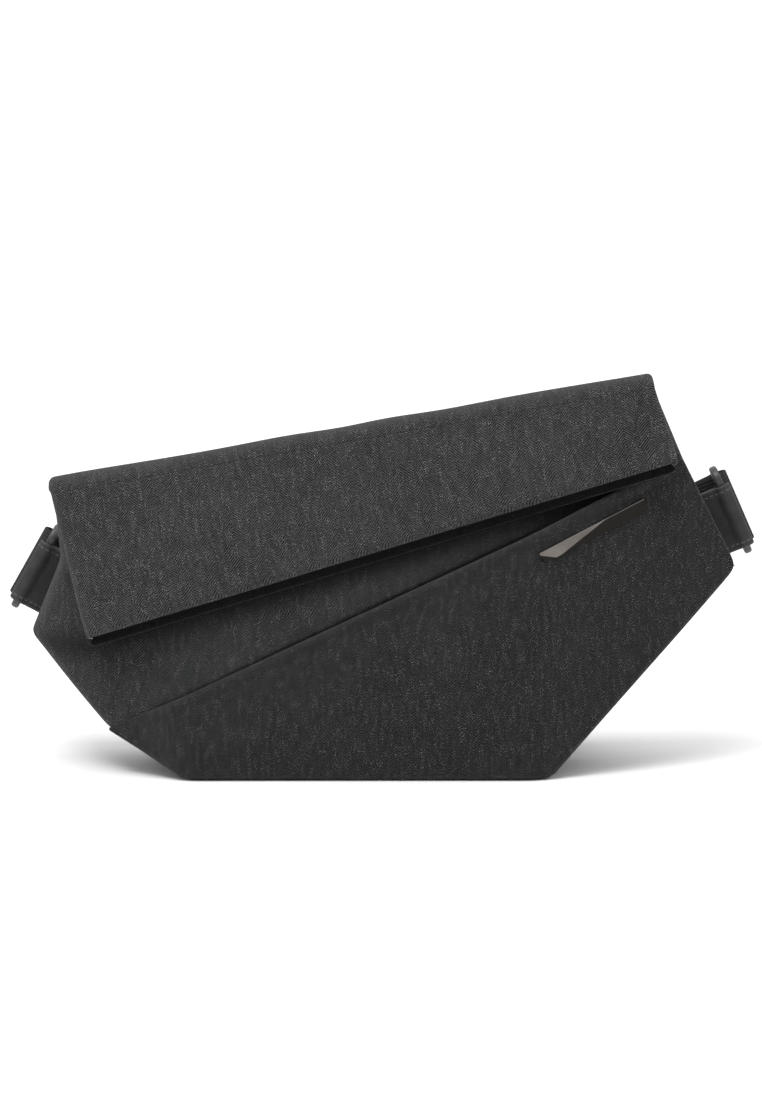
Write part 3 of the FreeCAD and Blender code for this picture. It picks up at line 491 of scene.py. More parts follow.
def loopRound(width, near, far, counts, tuck=0.0):
    # once round a flat tube, as arrays of rows by columns: how far along it, how deep, and the offset
    # from that depth where a corner of radius near (left end) or far (right end) is rounded
    quarter = np.linspace(0, np.pi / 2, counts["corner"])
    up, down = quarter, quarter[::-1]
    front = np.linspace(0, 1, counts["front"] + 2)[1:-1]
    rear = np.linspace(0, 1, counts["rear"] + 2)[1:-1]
    side = np.linspace(0, 1, counts["side"] + 2)[1:-1]
    flat = width - near - far
    along = [near * (1 - np.cos(up)), near + flat * front, width - far * (1 - np.cos(down)),
             width - tuck * np.sin(np.pi * side) + 0 * far, width - far * (1 - np.cos(up)),
             near + flat * rear[::-1], near * (1 - np.cos(down)),
             0 * near + tuck * np.sin(np.pi * side)]
    offset = [near * (1 - np.sin(up)), 0 * near * front, far * (1 - np.sin(down)), far * (1 - 2 * side),
              -far * (1 - np.sin(up)), 0 * near * rear, -near * (1 - np.sin(down)),
              near * (1 - 2 * side[::-1])]
    depth = [0 * up, 0 * front, 0 * up, side, 1 + 0 * up, 1 + 0 * rear, 1 + 0 * up, side[::-1]]
    return np.concatenate(along, 1), np.concatenate(offset, 1), np.concatenate(depth)


def spanRound(points, middle):
    # distance round each closed row in plan, measured from the column in the middle of the front
    steps = np.linalg.norm(np.roll(points, -1, 1)[..., :2] - points[..., :2], axis=-1)
    total = np.concatenate([0 * steps[:, :1], np.cumsum(steps, 1)], 1)
    return total - total[:, middle:middle + 1] + points[:, middle:middle + 1, 0]


# body of the bag: one flat tube from the base up to the fold

bag = {
    "left": [(0, -90, 0), (.04, -100, 0), (.24, -143, 25), (.50, -187, 72), (.72, -169, 115.5),
             (1, -172.05, 151.66)],
    "right": [(0, 90, 0), (.04, 100, 0), (.24, 127, 28.5), (.50, 204, 109.5), (.72, 173.5, 169.8),
              (1, 156.5, 209.6)],
    "stations": [-187, -169, -143, -100, 90, 173.5, 204],
    "foot": [16, -3, -20, -32, -32, 4, 16],
    "brow": [16, -3, -12, -17, -17, 4, 16],
    "lowX": [-187, -143, -100, 100, 204], "lowZ": [72, 25, 0, 0, 109.5],
    "back": 38, "corner": 7, "floorRound": 5, "wall": 1.6, "rows": 161, "softening": 11,
    "bulge": 2.0, "bulgeRise": (-185, -110), "bulgeFall": (100, 190),
    "lean": 5.5, "leanRise": (-125, -70), "leanFall": (60, 125), "leanAbove": 22, "leanBelow": 2.2,
    "zipDrop": 11, "zipReach": 8,
    # a band of painted shade under the flap's hem: how far below it, how wide and how dark
    "hemShadeDrop": 2, "hemShadeReach": 8, "hemShadeDark": 0.65,
}
roll = {
    "height": 182, "slope": math.radians(10), "depth": -8.5, "turn": math.radians(166),
    "inner": 0.5, "outer": 10.5, "left": -174.7, "right": 158.9,
    "leftDrop": 81.3, "rightDrop": 41.3, "leftInset": 6, "rightFlare": 5.6, "wall": 1.6,
    "pillow": 1.6, "sideTuck": 2.5, "corner": 3.0, "hemCorner": 5.0, "innerHang": 4.2,
    "hemTurn": 1.8, "hemHide": 3, "earLeft": 3.2, "earRight": 1.2, "blendReach": 7,
    # where the painted shade inside the flap's hem begins and ends
    "facing": (0.80, 0.84),
}
pocket = {
    "stations": [-143, -100, 90, 173.5, 204],
    "foot": [-20.4, -42, -42, -5, 12], "brow": [-20.4, -35, -35, -5, 12],
    "hemStart": (-143, 25), "hemSlope": math.tan(math.radians(25.2)),
    "hemRound": 1.5, "hemDepth": 3.0, "hemDrop": 4.5, "start": -141.5, "corner": 1.6,
    "footRound": 5.0, "wall": 1.0, "bulge": 3.2, "bulgeRise": (-143, -80), "bulgeFall": (110, 200),
    "badge": (124, 135.4), "badgeReach": (44, 13),
    "rows": {"gusset": 6, "foot": 7, "face": 64, "hem": 6, "top": 5, "inside": 5},
    "columns": 150, "far": 164, "closeColumns": 60,     # closer columns beyond far
    "sealed": (166, 182), "hemFade": (160, 176),        # where the mouth is sewn shut
    "pucker": (-118, 12, 4.5, 0.9),                     # place, reach, pitch and depth
}
counts = {"front": 96, "rear": 56, "corner": 6, "side": 10}
rollCounts = {"front": 110, "rear": 110, "corner": 5, "side": 5}


def shoulderHeight(x):
    return 142.3 + x * math.tan(math.radians(9))


def foldHeight(x):
    return roll["height"] + x * math.tan(roll["slope"])


def mouthHeight(x):
    # the slanting hem of the pocket
    return pocket["hemStart"][1] + (x - pocket["hemStart"][0]) * pocket["hemSlope"]


def bodyFront(x, z):
    # foot to brow by height, then straight up the neck to the front of the fold
    foot = bent(x, bag["stations"], bag["foot"], 9)
    brow = bent(x, bag["stations"], bag["brow"], 9)
    low, high = np.interp(x, bag["lowX"], bag["lowZ"]), shoulderHeight(x)
    share = np.clip((z - low) / (high - low), 0, 1)
    neck = np.clip((z - high) / (foldHeight(x) - high), 0, 1)
    swell = bag["bulge"] * np.sin(np.pi * share) * between(x, bag["bulgeRise"], bag["bulgeFall"])
    over = z - mouthHeight(x)
    # flatter just under the hem, where the zip needs its room
    swell = swell * (1 - 0.9 * np.exp(-((over + bag["zipDrop"]) / bag["zipReach"]) ** 2))
    # the filled bag leans on the back of the pocket's hem, and less so further above it
    lean = np.exp(-(over / np.where(over > 0, bag["leanAbove"], bag["leanBelow"])) ** 2)
    swell = swell + bag["lean"] * lean * between(x, bag["leanRise"], bag["leanFall"]) * (1 - neck)
    flat = foot + (brow - foot) * share - swell
    return flat + (roll["depth"] + roll["inner"] - flat) * neck


def bodyBack(x, z):
    neck = np.clip((z - shoulderHeight(x)) / (foldHeight(x) - shoulderHeight(x)), 0, 1)
    bow = 0.5 * neck + 0.5 * neck * neck * (3 - 2 * neck)
    return bag["back"] + (roll["depth"] + roll["outer"] - bag["back"]) * bow


def creases(x, z):
    # shallow folds down from the neck and in from the wings, and faint waves all over
    neck = np.exp(-((z - shoulderHeight(x) - 8) / 16) ** 2)
    wing = np.exp(-((x + 165) / 14) ** 2) + np.exp(-((x - 185) / 14) ** 2)
    return (0.55 * neck * np.sin(x / 11 + 1.7 * np.sin(x / 47)) + 0.45 * wing * np.sin(z / 6 + x / 15)
            + 0.25 * np.sin(x / 31 + z / 23) * np.sin(z / 17 - x / 41))


def outline(shape, softening):
    # the two side lines of a flat piece, from knots of share, x and z, with their corners softened
    t = np.linspace(0, 1, shape["rows"])
    for side in ("left", "right"):
        knots = np.array(shape[side], float)
        line = np.stack([np.interp(t, knots[:, 0], knots[:, i]) for i in (1, 2)], -1)
        yield softened(line, softening)


def flapHem():
    # the line of the flap's hem as it hangs, lowered to where it hides the front panel
    place = np.linspace(roll["left"], roll["right"], 40)
    drop = np.interp(place, [roll["left"], roll["right"]], [roll["leftDrop"], roll["rightDrop"]])
    lean = math.cos(math.pi - roll["turn"])
    x = place * math.cos(roll["slope"]) + drop * lean * math.sin(roll["slope"])
    z = roll["height"] + place * math.sin(roll["slope"]) - drop * lean * math.cos(roll["slope"])
    return x, z - roll["hemHide"]


def makeBody():
    t = np.linspace(0, 1, bag["rows"])
    left, right = ends = list(outline(bag, bag["softening"]))
    width = np.linalg.norm(right - left, axis=1)[:, None]
    depthOf = [bodyBack(e[:, 0], e[:, 1]) - bodyFront(e[:, 0], e[:, 1]) for e in ends]
    near, far = (np.minimum(bag["corner"], 0.45 * d)[:, None] for d in depthOf)
    along, offset, depth = loopRound(width, near, far, counts)
    share = along / width
    x = left[:, :1] + (right[:, :1] - left[:, :1]) * share
    z = left[:, 1:] + (right[:, 1:] - left[:, 1:]) * share
    low = np.interp(x, bag["lowX"], bag["lowZ"])
    r = bag["floorRound"]
    under = np.clip(r - (z - low), 0, r)
    lift = r - np.sqrt(r * r - under * under)
    ripple = creases(x, z) * (1 - eased(t[:, None], 0.93, 1.0)) * eased(t[:, None], 0.02, 0.12)
    front, back = bodyFront(x, z) + lift - ripple, bodyBack(x, z) - lift + 0.6 * ripple
    y = front * (1 - depth) + back * depth + offset
    points = np.stack([x, y, z], -1)
    uv = np.stack([spanRound(points, counts["corner"] + counts["front"] // 2), looped(z)], -1)
    edge = np.exp(-((np.minimum(along, width - along) - 2) / 5) ** 2) * (1 - depth)
    # the cloth is darkened as painted shade along and under the hem of the hanging flap
    hemX, hemZ = flapHem()
    below = np.interp(x, hemX, hemZ) - z
    hemShade = np.exp(-((below - bag["hemShadeDrop"]) / bag["hemShadeReach"]) ** 2) * (depth < 0.02)
    # the base closes in towards its middle
    inward = np.linspace(0, 1, 12)[:, None, None]
    centre = np.array([0, points[0, :, 1].mean(), 0])
    base = centre + (points[0] - centre) * (1 - inward)
    baseUv = looped(base)[..., :2]
    patches = [patch(points, uv, True, edge * 0.5 - hemShade * bag["hemShadeDark"]),
               patch(base[::-1], baseUv[::-1], True)]
    piece = buildPiece("bodyShell", patches, bag["wall"])
    applyModifiers(piece)
    place = readPoints(piece.data)
    place[:, 2] = np.maximum(place[:, 2], 0)       # the base lies flat on the floor
    piece.data.vertices.foreach_set("co", place.ravel())
    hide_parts("front_panel", "back_panel", "bottom_panel", "left_lower_gusset",
                "right_lower_gusset", "left_upper_gusset", "right_upper_gusset",
                "neck_front", "neck_back", "neck_left", "neck_right")


makeBody()
print("body built")


# rolled top: the fold over the axis and the flap hanging from it

slopeLine = np.array([math.cos(roll["slope"]), 0, math.sin(roll["slope"])])
riseLine = np.array([-math.sin(roll["slope"]), 0, math.cos(roll["slope"])])
depthLine = np.array([0, 1.0, 0])
foldPoint = np.array([0, roll["depth"], roll["height"]])
outLine = depthLine * math.cos(roll["turn"]) + riseLine * math.sin(roll["turn"])
hangLine = np.cross(outLine, slopeLine)
hangLine = hangLine * (-1 if hangLine[2] > 0 else 1)


def rollLoop(left, right, tuck):
    # one turn round the flattened tube: place along the fold and distance from the axis
    width = right - left
    along, offset, depth = loopRound(width, roll["corner"] + 0 * width, roll["corner"] + 0 * width,
                                     rollCounts, tuck)
    reach = roll["inner"] + (roll["outer"] - roll["inner"]) * depth + offset
    return left + along, reach, depth


def makeFold():
    turn = np.linspace(0, roll["turn"], 33)[:, None]
    place, reach, depth = rollLoop(roll["left"] + 0 * turn, roll["right"] + 0 * turn,
                                   roll["sideTuck"] * 0.4)
    side = np.sin(np.pi * np.clip(depth, 0, 1))
    hump = np.sin(turn / roll["turn"] * np.pi)
    lump = hump * np.exp(-((place - roll["left"]) / 7) ** 2) * (0.6 + 0.4 * np.cos(turn * 3.0 - 0.6))
    rightLump = hump * side * np.exp(-((place - roll["right"]) / 6) ** 2)
    place = place - roll["earLeft"] * lump * (0.35 + 0.65 * side) + roll["earRight"] * rightLump
    worn = hump * 0.7 * (depth > 0.99)
    reach = reach + hump ** 2 * 0.3 * np.sin(place / 13 + 1.3 * np.sin(place / 37)) * depth
    direction = np.cos(turn)[..., None] * depthLine + np.sin(turn)[..., None] * riseLine
    points = foldPoint + place[..., None] * slopeLine + reach[..., None] * direction
    wrap = looped(place + reach)
    uv = np.stack([wrap, roll["outer"] * (roll["turn"] - turn) + 0 * wrap], -1)
    piece = buildPiece("foldShell", [patch(points, uv, True, worn)], roll["wall"], body=None,
                       slot="roll_fabric")
    applyModifiers(piece)
    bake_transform(piece)
    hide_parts("top_fold_outer", "top_fold_inner")


def makeFlap():
    down = np.concatenate([np.linspace(0, 0.93, 48), np.linspace(0.93, 1, 9)[1:]])[:, None]
    left = roll["left"] + roll["leftInset"] * down
    right = roll["right"] + roll["rightFlare"] * down
    place, reach, depth = rollLoop(left, right, roll["sideTuck"])
    share = (place - left) / (right - left)
    drop = (roll["leftDrop"] + (roll["rightDrop"] - roll["leftDrop"]) * share) * down
    nearEnd = np.clip(1 - np.minimum(place - left, right - place) / roll["hemCorner"], 0, 1)
    drop = drop - roll["hemCorner"] * (1 - np.sqrt(1 - nearEnd ** 2)) * down ** 12
    drop = drop + roll["innerHang"] * down ** 3 * (1 - depth)
    inwards = np.clip(np.minimum(place - left, right - place) / 30, 0, 1)
    pillow = roll["pillow"] * np.sin(np.pi * down) ** 2 * (inwards * (2 - inwards))
    wave = 0.7 * eased(down, 0.2, 1) * np.sin(place / 29 + 0.6)
    wave = wave + 0.3 * np.sin(place / 12 + drop / 15) * down ** 2
    sink = roll["hemTurn"] * np.exp(-((down - 1) / 0.03) ** 2)       # the hem turns in
    reach = reach + (pillow + wave - sink) * (depth > 0.5) + 0.4 * sink * (depth < 0.5)
    points = foldPoint + place[..., None] * slopeLine + drop[..., None] * hangLine
    points = points + reach[..., None] * outLine
    uv = np.stack([looped(place + reach), -looped(drop)], -1)
    facing = eased(down, *roll["facing"])                # the inside of the hem is darkened as painted shade under the flap's overhang
    worn = np.maximum(np.exp(-((down - 1) / 0.03) ** 2),
                      np.exp(-(np.minimum(place - left, right - place) / 3) ** 2))
    worn = worn * (depth > 0.5) * 0.6 - (depth < 0.5) * 0.85 * facing
    piece = buildPiece("flapShell", [patch(points, uv, True, worn)], roll["wall"], body="roll_top",
                       slot="roll_fabric")
    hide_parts("flap_outer", "flap_inner", "flap_edge_left", "flap_edge_right")


makeFold()
makeFlap()
print("rolled top built")


# front pocket: a full panel that closes the lower front, hemmed along its slanting mouth

def makePocket():
    # its lower and right edges follow the body's outline; its upper edge is the slanting mouth until
    # that meets the outline, with the corner between them rounded
    left, right = outline(bag, bag["softening"])
    tip = int(np.argmax(right[:, 0]))
    end = right[tip, 0] - 0.05
    far = pocket["far"]
    close = far + (end - far) * np.sin(np.linspace(0, np.pi / 2, pocket["closeColumns"]))
    x = np.concatenate([np.linspace(pocket["start"], far, pocket["columns"]), close[1:]])[None, :]
    leftLow = left[:int(np.argmin(left[:, 0])) + 1][::-1]
    rightHigh = right[tip:][::-1]
    low = np.where(x < 0, np.interp(x, leftLow[:, 0], leftLow[:, 1]),
                   np.interp(x, right[:tip + 1, 0], right[:tip + 1, 1]))
    mouth = mouthHeight(x)
    side = np.interp(x, rightHigh[:, 0], rightHigh[:, 1])
    k = pocket["corner"]
    high = np.minimum(mouth, side) - k * np.log1p(np.exp(-np.abs(mouth - side) / k))
    low, high = np.minimum(low, high - 0.02), np.maximum(high, low + 0.02)
    foot = bent(x, pocket["stations"], pocket["foot"], 6)
    brow = bent(x, pocket["stations"], pocket["brow"], 6)
    behindLow = bodyFront(x, low) + 0.5
    behindHigh = bodyFront(x, high) + 1.0
    tall = high - low
    r = np.minimum(pocket["footRound"], np.minimum(0.3 * tall, 0.9 * np.maximum(behindLow - foot, 0.05)))
    h = np.minimum(pocket["hemRound"], 0.2 * tall)
    sealed = eased(x, *pocket["sealed"])
    hemDepth = np.minimum(pocket["hemDepth"], 0.4 * tall) * (1 - sealed)
    hemDepth = np.maximum(hemDepth + np.maximum(behindHigh - brow, 1) * sealed, 2 * h)
    hemDrop = np.minimum(pocket["hemDrop"], 0.5 * tall)

    count = pocket["rows"]
    faceStart = count["gusset"] + count["foot"]
    insideStart = faceStart + count["face"] + count["hem"]

    def rows(part):
        return np.linspace(0, 1, count[part], endpoint=part == "inside")[:, None]

    a, b = (rows(part) * np.pi / 2 for part in ("foot", "hem"))
    faceLow, faceHigh = low + r, high - h
    faceZ = faceLow + (faceHigh - faceLow) * rows("face")
    lean = (faceZ - low) / tall
    y = [behindLow + (foot + r - behindLow) * rows("gusset"), foot + r * (1 - np.sin(a)),
         foot + (brow - foot) * lean, brow + h * (1 - np.cos(b)),
         brow + h + (hemDepth - 2 * h) * rows("top"), brow + hemDepth - h * (1 - np.sin(b)),
         brow + hemDepth + 0 * rows("inside")]
    z = [low + 0 * rows("gusset"), low + r * (1 - np.cos(a)), faceZ, high - h * (1 - np.sin(b)),
         high + 0 * rows("top"), high - h * (1 - np.cos(b)), high - h - (hemDrop - h) * rows("inside")]
    y, z = np.concatenate(y), np.concatenate(z)
    share = np.clip((z - low) / tall, 0, 1)
    nearHem = np.clip(1 - (y - brow - h) / 2, 0, 1) * (share > 0.5) + (share <= 0.5)
    # the cloth is flat round the badge, which lies at a tilt
    fromX, fromZ = x - pocket["badge"][0], z - pocket["badge"][1]
    across = fromX * math.cos(badgeTilt) + fromZ * math.sin(badgeTilt)
    over = fromZ * math.cos(badgeTilt) - fromX * math.sin(badgeTilt)
    badge = np.exp(-(across / pocket["badgeReach"][0]) ** 4 - (over / pocket["badgeReach"][1]) ** 4)
    swell = pocket["bulge"] * np.sin(np.pi * share ** 0.75)
    swell = swell * between(x, pocket["bulgeRise"], pocket["bulgeFall"])
    # small puckers at the hem's low end, shallow dents all over, and a ridge and groove along the hem
    at, reach, pitch, deep = pocket["pucker"]
    pucker = deep * np.exp(-((x - at) / reach) ** 2 - ((z - high) / reach) ** 2) * np.sin((x - at) / pitch)
    dents = 0.35 * np.sin(x / 27 + z / 33) * np.sin(z / 21 - x / 55) * eased(share, 0, 0.2)
    hemRoll = 0.8 * np.exp(-((high - z - 3.0) / 2.6) ** 2) - 0.5 * np.exp(-((high - z - 8.5) / 1.8) ** 2)
    hemRoll = hemRoll * eased(tall, 12, 40) * (1 - eased(x, *pocket["hemFade"]))
    y = y - (swell * nearHem + pucker + dents * nearHem) * (1 - badge) - hemRoll * nearHem
    points = np.stack([x + 0 * y, y, z], -1)
    steps = np.linalg.norm(np.diff(points, axis=0)[..., 1:], axis=-1)
    climb = np.concatenate([0 * steps[:1], np.cumsum(steps, 0)])
    climb = climb - climb[faceStart:faceStart + 1] + low
    stepsX = np.hypot(np.diff(x, axis=1), np.diff(0.5 * (foot + brow), axis=1))
    run = np.concatenate([x[:, :1], x[:, :1] + np.cumsum(stepsX, 1)], 1)
    uv = np.stack([run + 0 * y, climb], -1)
    worn = np.exp(-((high - z) / 2.2) ** 2) * eased(tall, 5, 25)
    # the inside of the pocket's hem is darkened as painted shade, where the mouth's gap lies in shade
    inside = (np.arange(len(y)) > insideStart)[:, None]
    piece = buildPiece("pocketShell", [patch(points, uv, False, worn * 0.8 - 1.5 * inside)],
                       pocket["wall"], slot="pocket_fabric")
    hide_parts("pocket_panel", "pocket_gusset", "pocket_hem")


makePocket()
print("pocket built")


# tabs and shoulder strap

strap = {
    "width": 42, "thick": 1.6, "loop": 5.0, "end": 22, "gap": 2.2,
    "tabWidth": 37, "tabThick": 1.8, "tabLoop": 3.4, "tabRoot": 34, "tabOffset": 2.5,
    "barY": 39.8, "ringDepth": 16, "ringBar": 4.5, "ringReach": 21.5, "ringRound": 5.0,
    "turnX": 92, "leftRunY": 51, "rightRunY": 58, "middleY": 89,
    "rightRadius": 19, "leftRadius": 15.5, "softening": 15,
}
rings = {
    "left": {"side": -1, "place": (-185.5, 105.2), "lean": math.radians(29.5)},
    "right": {"side": 1, "place": (202.6, 137.0), "lean": math.radians(23.7)},
}


def bandPatch(path, across, width, thick):
    # a thin band: a section with round edges carried along the path
    normal = unit(np.cross(unit(np.gradient(path, axis=0)), across))
    half, h = width / 2, thick / 2
    flat = np.linspace(-(half - h), half - h, 13)
    arc = np.linspace(-np.pi / 2, np.pi / 2, 7)[1:-1]
    a = np.concatenate([flat, half - h + h * np.cos(arc), flat[::-1], -(half - h) - h * np.cos(arc)])
    n = np.concatenate([0 * flat - h, h * np.sin(arc), 0 * flat + h, -h * np.sin(arc)])
    points = path[:, None] + a[:, None] * across[:, None] + n[:, None] * normal[:, None]
    caps = path[:, None] + a[:, None] * across[:, None] * 0.999
    points = np.concatenate([caps[:1], points, caps[-1:]])
    length = distanceAlong(path)
    length = np.concatenate([length[:1], length, length[-1:]])[:, None]
    wrapped = np.concatenate([a, a[:1]])
    uv = np.stack([wrapped + 0 * length, length + 0 * wrapped], -1)
    return patch(points, uv, True), float(length[-1, 0])


def resampled(line, step):
    # points at an even spacing along the line
    gaps = distanceAlong(line)
    at = np.linspace(0, gaps[-1], int(gaps[-1] / step) + 1)
    return np.stack([np.interp(at, gaps, line[:, i]) for i in range(line.shape[1])], -1)


def ringLines(ring):
    # the way the strap pulls, and the way the ring's two long bars run
    lean, side = ring["lean"], ring["side"]
    return (np.array([side * math.cos(lean), 0, math.sin(lean)]),
            np.array([-side * math.sin(lean), 0, math.cos(lean)]))


def loopPath(ring, barY, root, layer, radius, below=0.0):
    # out along one layer, round the bar and back along the other
    out, bar = ringLines(ring)
    centre = np.array([ring["place"][0], barY, ring["place"][1]])
    turn = np.linspace(-0.80 * np.pi, 0.80 * np.pi, 28)
    around = np.stack([radius * np.cos(turn), radius * np.sin(turn)], -1)
    neck = np.array([[-root, -layer], [-root * 0.6, -layer], [-3.0 * radius, -layer]])
    flat = np.concatenate([neck, around, (neck * [1, -1])[::-1]])
    flat = softened(resampled(flat, 0.8), 7)
    path = centre - below * bar + flat[:, :1] * out + flat[:, 1:] * depthLine
    return path, np.broadcast_to(bar, path.shape)


def makeLoops():
    for name, ring in rings.items():
        thick = strap["tabThick"]
        path, bar = loopPath(ring, strap["barY"], strap["tabRoot"], thick / 2 + 0.02,
                             strap["tabLoop"] + thick / 2, strap["tabOffset"])
        band, length = bandPatch(path, bar, strap["tabWidth"], thick)
        tab = buildPiece("tab" + name.capitalize(), [band], slot="tab_leather")
        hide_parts("tab_" + name)
        length * mm
        thick = strap["thick"]
        root = strap["end"] + strap["gap"]
        path, bar = loopPath(ring, strap["barY"] + strap["ringDepth"], root, thick / 2 + 0.02,
                             strap["loop"] + thick / 2)
        band, length = bandPatch(path, bar, strap["width"], thick)
        end = buildPiece("strapEnd" + name.capitalize(), [band], body=None, slot="webbing")
        tuple(path[0] * mm)
        tuple(path[len(path) // 4] * mm)
        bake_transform(end)
        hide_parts("strap_end_" + name)
        length * mm


def makeRings():
    # a round-cornered ring: a soft square section carried round a closed path through its two bars
    for name, ring in rings.items():
        out, bar = ringLines(ring)
        middle = np.array([ring["place"][0], strap["barY"] + strap["ringDepth"] / 2, ring["place"][1]])
        halfY, halfZ = strap["ringDepth"] / 2, strap["ringReach"] + strap["ringBar"] / 2
        r = strap["ringRound"]
        corner = np.linspace(0, np.pi / 2, 13)
        quarter = np.stack([halfY - r + r * np.cos(corner), halfZ - r + r * np.sin(corner)], -1)
        path = np.concatenate([quarter, quarter[::-1] * [-1, 1], quarter * [-1, -1],
                               quarter[::-1] * [1, -1]])
        path = resampled(np.concatenate([path, path[:1]]), 0.9)[:-1]
        ahead = unit(np.roll(path, -1, 0) - np.roll(path, 1, 0))
        outward = np.stack([ahead[:, 1], -ahead[:, 0]], -1)
        turn = np.linspace(0, 2 * np.pi, 28, endpoint=False)
        half = strap["ringBar"] / 2
        a, b = (half * np.sign(v) * np.abs(v) ** 0.62 for v in (np.cos(turn), np.sin(turn)))
        flat = path[:, None] + b[None, :, None] * outward[:, None]
        points = middle + a[None, :, None] * out + flat[..., :1] * depthLine + flat[..., 1:] * bar
        points = np.concatenate([points, points[:1]])
        u = np.linspace(0, 16, 29)[None] + 0 * points[:, :1, 0]
        v = np.linspace(0, 130, len(points))[:, None] + 0 * u
        piece = buildPiece("ring" + name.capitalize(), [patch(points, np.stack([u, v], -1), True)],
                           body=name + "_ring", slot="ring_metal")
        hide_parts("ring_" + name)


def runLine(ring, runY):
    # from just past the sewn end, down to the floor at the ring's lean, then along it to the turn
    (x, z), lean, side = ring["place"], ring["lean"], ring["side"]
    away = strap["end"] + strap["gap"]
    start = np.array([x - side * away * math.cos(lean), strap["barY"] + strap["ringDepth"],
                      z - away * math.sin(lean)])
    rest = strap["width"] / 2
    landing = start[0] - side * (start[2] - rest) / math.tan(lean)
    end = np.array([-side * strap["turnX"], runY, rest])
    share = (landing - start[0]) / (end[0] - start[0])
    middle = np.array([landing, start[1] + (runY - start[1]) * share, rest])
    return np.array([start, middle, end])


def makeStrap():
    rest, turnX, middleY = strap["width"] / 2, strap["turnX"], strap["middleY"]
    leftRun = runLine(rings["left"], strap["leftRunY"])
    rightRun = runLine(rings["right"], strap["rightRunY"])
    bend = np.linspace(-np.pi / 2, np.pi / 2, 25)[1:-1]
    rightR, leftR = strap["rightRadius"], strap["leftRadius"]
    level = rest + 0 * bend
    rightY, leftY = middleY - rightR + rightR * np.sin(bend), middleY - leftR - leftR * np.sin(bend)
    rightTurn = np.stack([turnX + rightR * np.cos(bend), rightY, level], -1)
    leftTurn = np.stack([-turnX - leftR * np.cos(bend), leftY, level], -1)
    path = np.concatenate([leftRun, rightTurn, [[turnX, middleY, rest], [-turnX, middleY, rest]],
                           leftTurn, rightRun[::-1]])
    path = softened(resampled(path, 2.0), strap["softening"])
    # the webbing stands on its edge: across it is square to its path and as upright as it can be
    tangent = unit(np.gradient(path, axis=0))
    facing = np.cross(unit(tangent * [1, 1, 0]), [0, 0, 1.0])
    across = unit(np.cross(facing, tangent))
    band, length = bandPatch(path, across, strap["width"], strap["thick"])
    piece = buildPiece("strapMain", [band], slot="webbing")
    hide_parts("strap_run_left", "strap_run_right", "strap_turn_left", "strap_turn_right",
                "strap_middle")
    length * mm
    print("strap length in mm:", round(length))


# back pad

pad = {
    "left": [(0, -92, 8), (.3, -130, 33), (1, -130, 109.7)],
    "right": [(0, 92, 8), (.5, 144, 69.4), (1, 144, 153.1)],
    "front": 38.15, "thick": 7.2, "corner": 3.2, "rows": 61, "softening": 9,
    "counts": {"front": 60, "rear": 60, "corner": 4, "side": 2},
    "voxel": 5, "pressure": 4.0, "cap": 4.0,
    "channels": [(-0.2, 70), (0.25, 70)],        # tilt and spacing
    "channelFrom": (7, 75), "channelDepth": 2.6, "channelWide": 2.4,
    "rimSides": (-130, 144), "rimIn": 7, "rimDepth": 1.6, "rimWide": 2.0,
}


def puffed(piece):
    # remeshes the pad evenly and swells it under pressure, no point by more than the cap
    remesh = piece.modifiers.new("remesh", "REMESH")
    remesh.mode, remesh.voxel_size = "VOXEL", pad["voxel"] * mm
    applyModifiers(piece)
    rest = readPoints(piece.data)
    cloth = piece.modifiers.new("puff", "CLOTH")
    cloth.settings.use_pressure = True
    cloth.settings.uniform_pressure_force = pad["pressure"]
    cloth.settings.effector_weights.gravity = 0
    cloth.settings.quality = 5
    for number in range(1, 21):
        scene.frame_set(number)
    push = readPoints(piece.evaluated_get(bpy.context.evaluated_depsgraph_get()).data) - rest
    piece.modifiers.clear()
    scene.frame_set(1)
    size = np.linalg.norm(push, axis=1)[:, None]
    push = push * np.minimum(1, pad["cap"] * mm / np.maximum(size, 1e-9))
    piece.data.vertices.foreach_set("co", (rest + push).ravel())


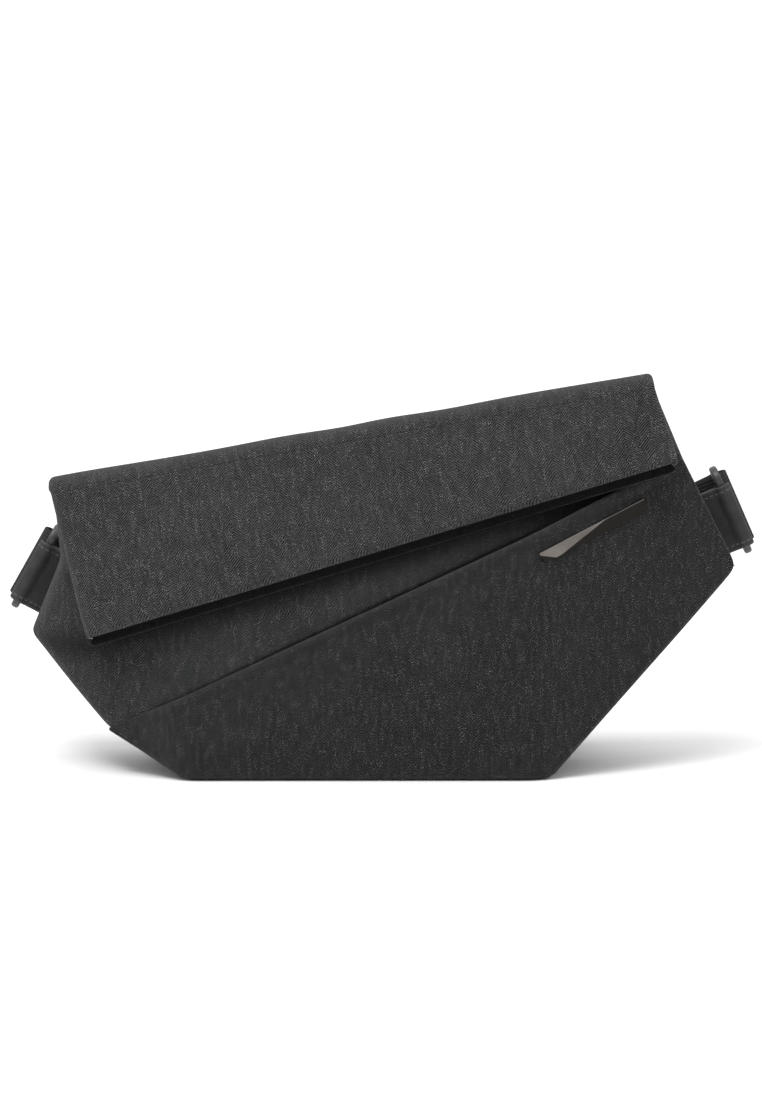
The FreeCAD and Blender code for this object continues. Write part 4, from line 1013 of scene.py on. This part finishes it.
def makeBackPad():
    t = np.linspace(0, 1, pad["rows"])
    left, right = outline(pad, pad["softening"])
    width = (right - left)[:, :1]
    radius = pad["corner"] + 0 * width
    along, offset, depth = loopRound(width, radius, radius, pad["counts"])
    share = along / width
    x = left[:, :1] + width * share
    z = left[:, 1:] + (right[:, 1:] - left[:, 1:]) * share
    thin = np.sqrt(np.clip(1 - (np.maximum(np.abs(t - 0.5) * 2 - 0.94, 0) / 0.06) ** 2, 0, 1))[:, None]
    middle = pad["front"] + pad["thick"] / 2
    y = middle + ((depth - 0.5) * pad["thick"] + offset) * thin
    points = np.stack([x, y, z], -1)
    uv = np.stack([looped(x), looped(z)], -1)
    piece = buildPiece("backPad", [patch(points, uv, True)], slot="mesh")
    puffed(piece)
    smooth = piece.modifiers.new("smooth", "SUBSURF")
    smooth.levels = smooth.render_levels = 1
    applyModifiers(piece)
    co = readPoints(piece.data) / mm
    behind = eased(co[:, 1], pad["front"] + 2, pad["front"] + 5)
    # pressed in along slanting channels and along a seam inside each end
    fromX, fromZ = co[:, 0] - pad["channelFrom"][0], co[:, 2] - pad["channelFrom"][1]
    for tilt, spacing in pad["channels"]:
        gap = (fromX - tilt * fromZ + spacing / 2) % spacing - spacing / 2
        co[:, 1] -= pad["channelDepth"] * np.exp(-(gap / pad["channelWide"]) ** 2) * behind
    rim = np.minimum(co[:, 0] - pad["rimSides"][0], pad["rimSides"][1] - co[:, 0])
    co[:, 1] -= pad["rimDepth"] * np.exp(-((rim - pad["rimIn"]) / pad["rimWide"]) ** 2) * behind
    co[:, 1] = np.maximum(co[:, 1], pad["front"] - 0.05)
    piece.data.vertices.foreach_set("co", (co * mm).ravel())
    piece.data.shade_smooth()
    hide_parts("back_foam", "back_mesh")


# floor

def makeFloor():
    f = Finish("paleFloor")
    place = f.objectPlace()
    grain = f.noise(place, 30.0, 3.0)
    material = f.surface(f.mix(grain, (0.93, 0.93, 0.93), (0.96, 0.96, 0.96)), 0.85 + grain * 0.1,
                         grain, 0.0001, Specular_IOR_Level=0.1)
    data = bpy.data.meshes.new("floor")
    size = np.linspace(-1, 1, 9)
    x, y = np.meshgrid(size * 40, size * 40)
    grid = np.stack([x, y, 0 * x - 0.0002], -1)
    r, c = np.meshgrid(np.arange(8), np.arange(8), indexing="ij")
    quads = np.stack([r * 9 + c, r * 9 + c + 1, (r + 1) * 9 + c + 1, (r + 1) * 9 + c], -1)
    data.from_pydata(grid.reshape(-1, 3).tolist(), [], quads.reshape(-1, 4).tolist())
    data.materials.append(material)
    floor = bpy.data.objects.new("floor", data)
    scene.collection.objects.link(floor)


makeFloor()
makeLoops()
makeRings()
makeStrap()
makeBackPad()
print("tabs, strap and back pad built")


# finishes of the parts that keep their own shape

def nodeSlot(name):
    groups = {
        "board": ("base_board", "back_board", "mouth_stiffener"), "magnet": ("mouth_magnets",),
        "zip_tape": ("zip_tape",), "zip_coil": ("zip_coil",), "zip_metal": ("zip_",),
        "badge_metal": ("badge",), "ring_metal": ("ring_", "strap_adjuster"), "elastic": ("strap_keeper",),
        "padding": ("divider",), "lining": ("back_lining", "slip_pocket"), "tab_leather": ("tab_",),
        "foam": ("back_foam",), "mesh": ("back_mesh",), "webbing": ("strap_",),
        "roll_fabric": ("flap_", "top_fold", "neck_"), "pocket_fabric": ("pocket_",),
    }
    found = [slot for slot, starts in groups.items() if name.startswith(starts)]
    return found[0] if found else "shell_fabric"


for name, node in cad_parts.items():
    finish = finishes[nodeSlot(name)]
    if not node.material_slots:
        node.data.materials.append(finish)
    for holder in node.material_slots:
        holder.material = finish
print("carried parts finished")
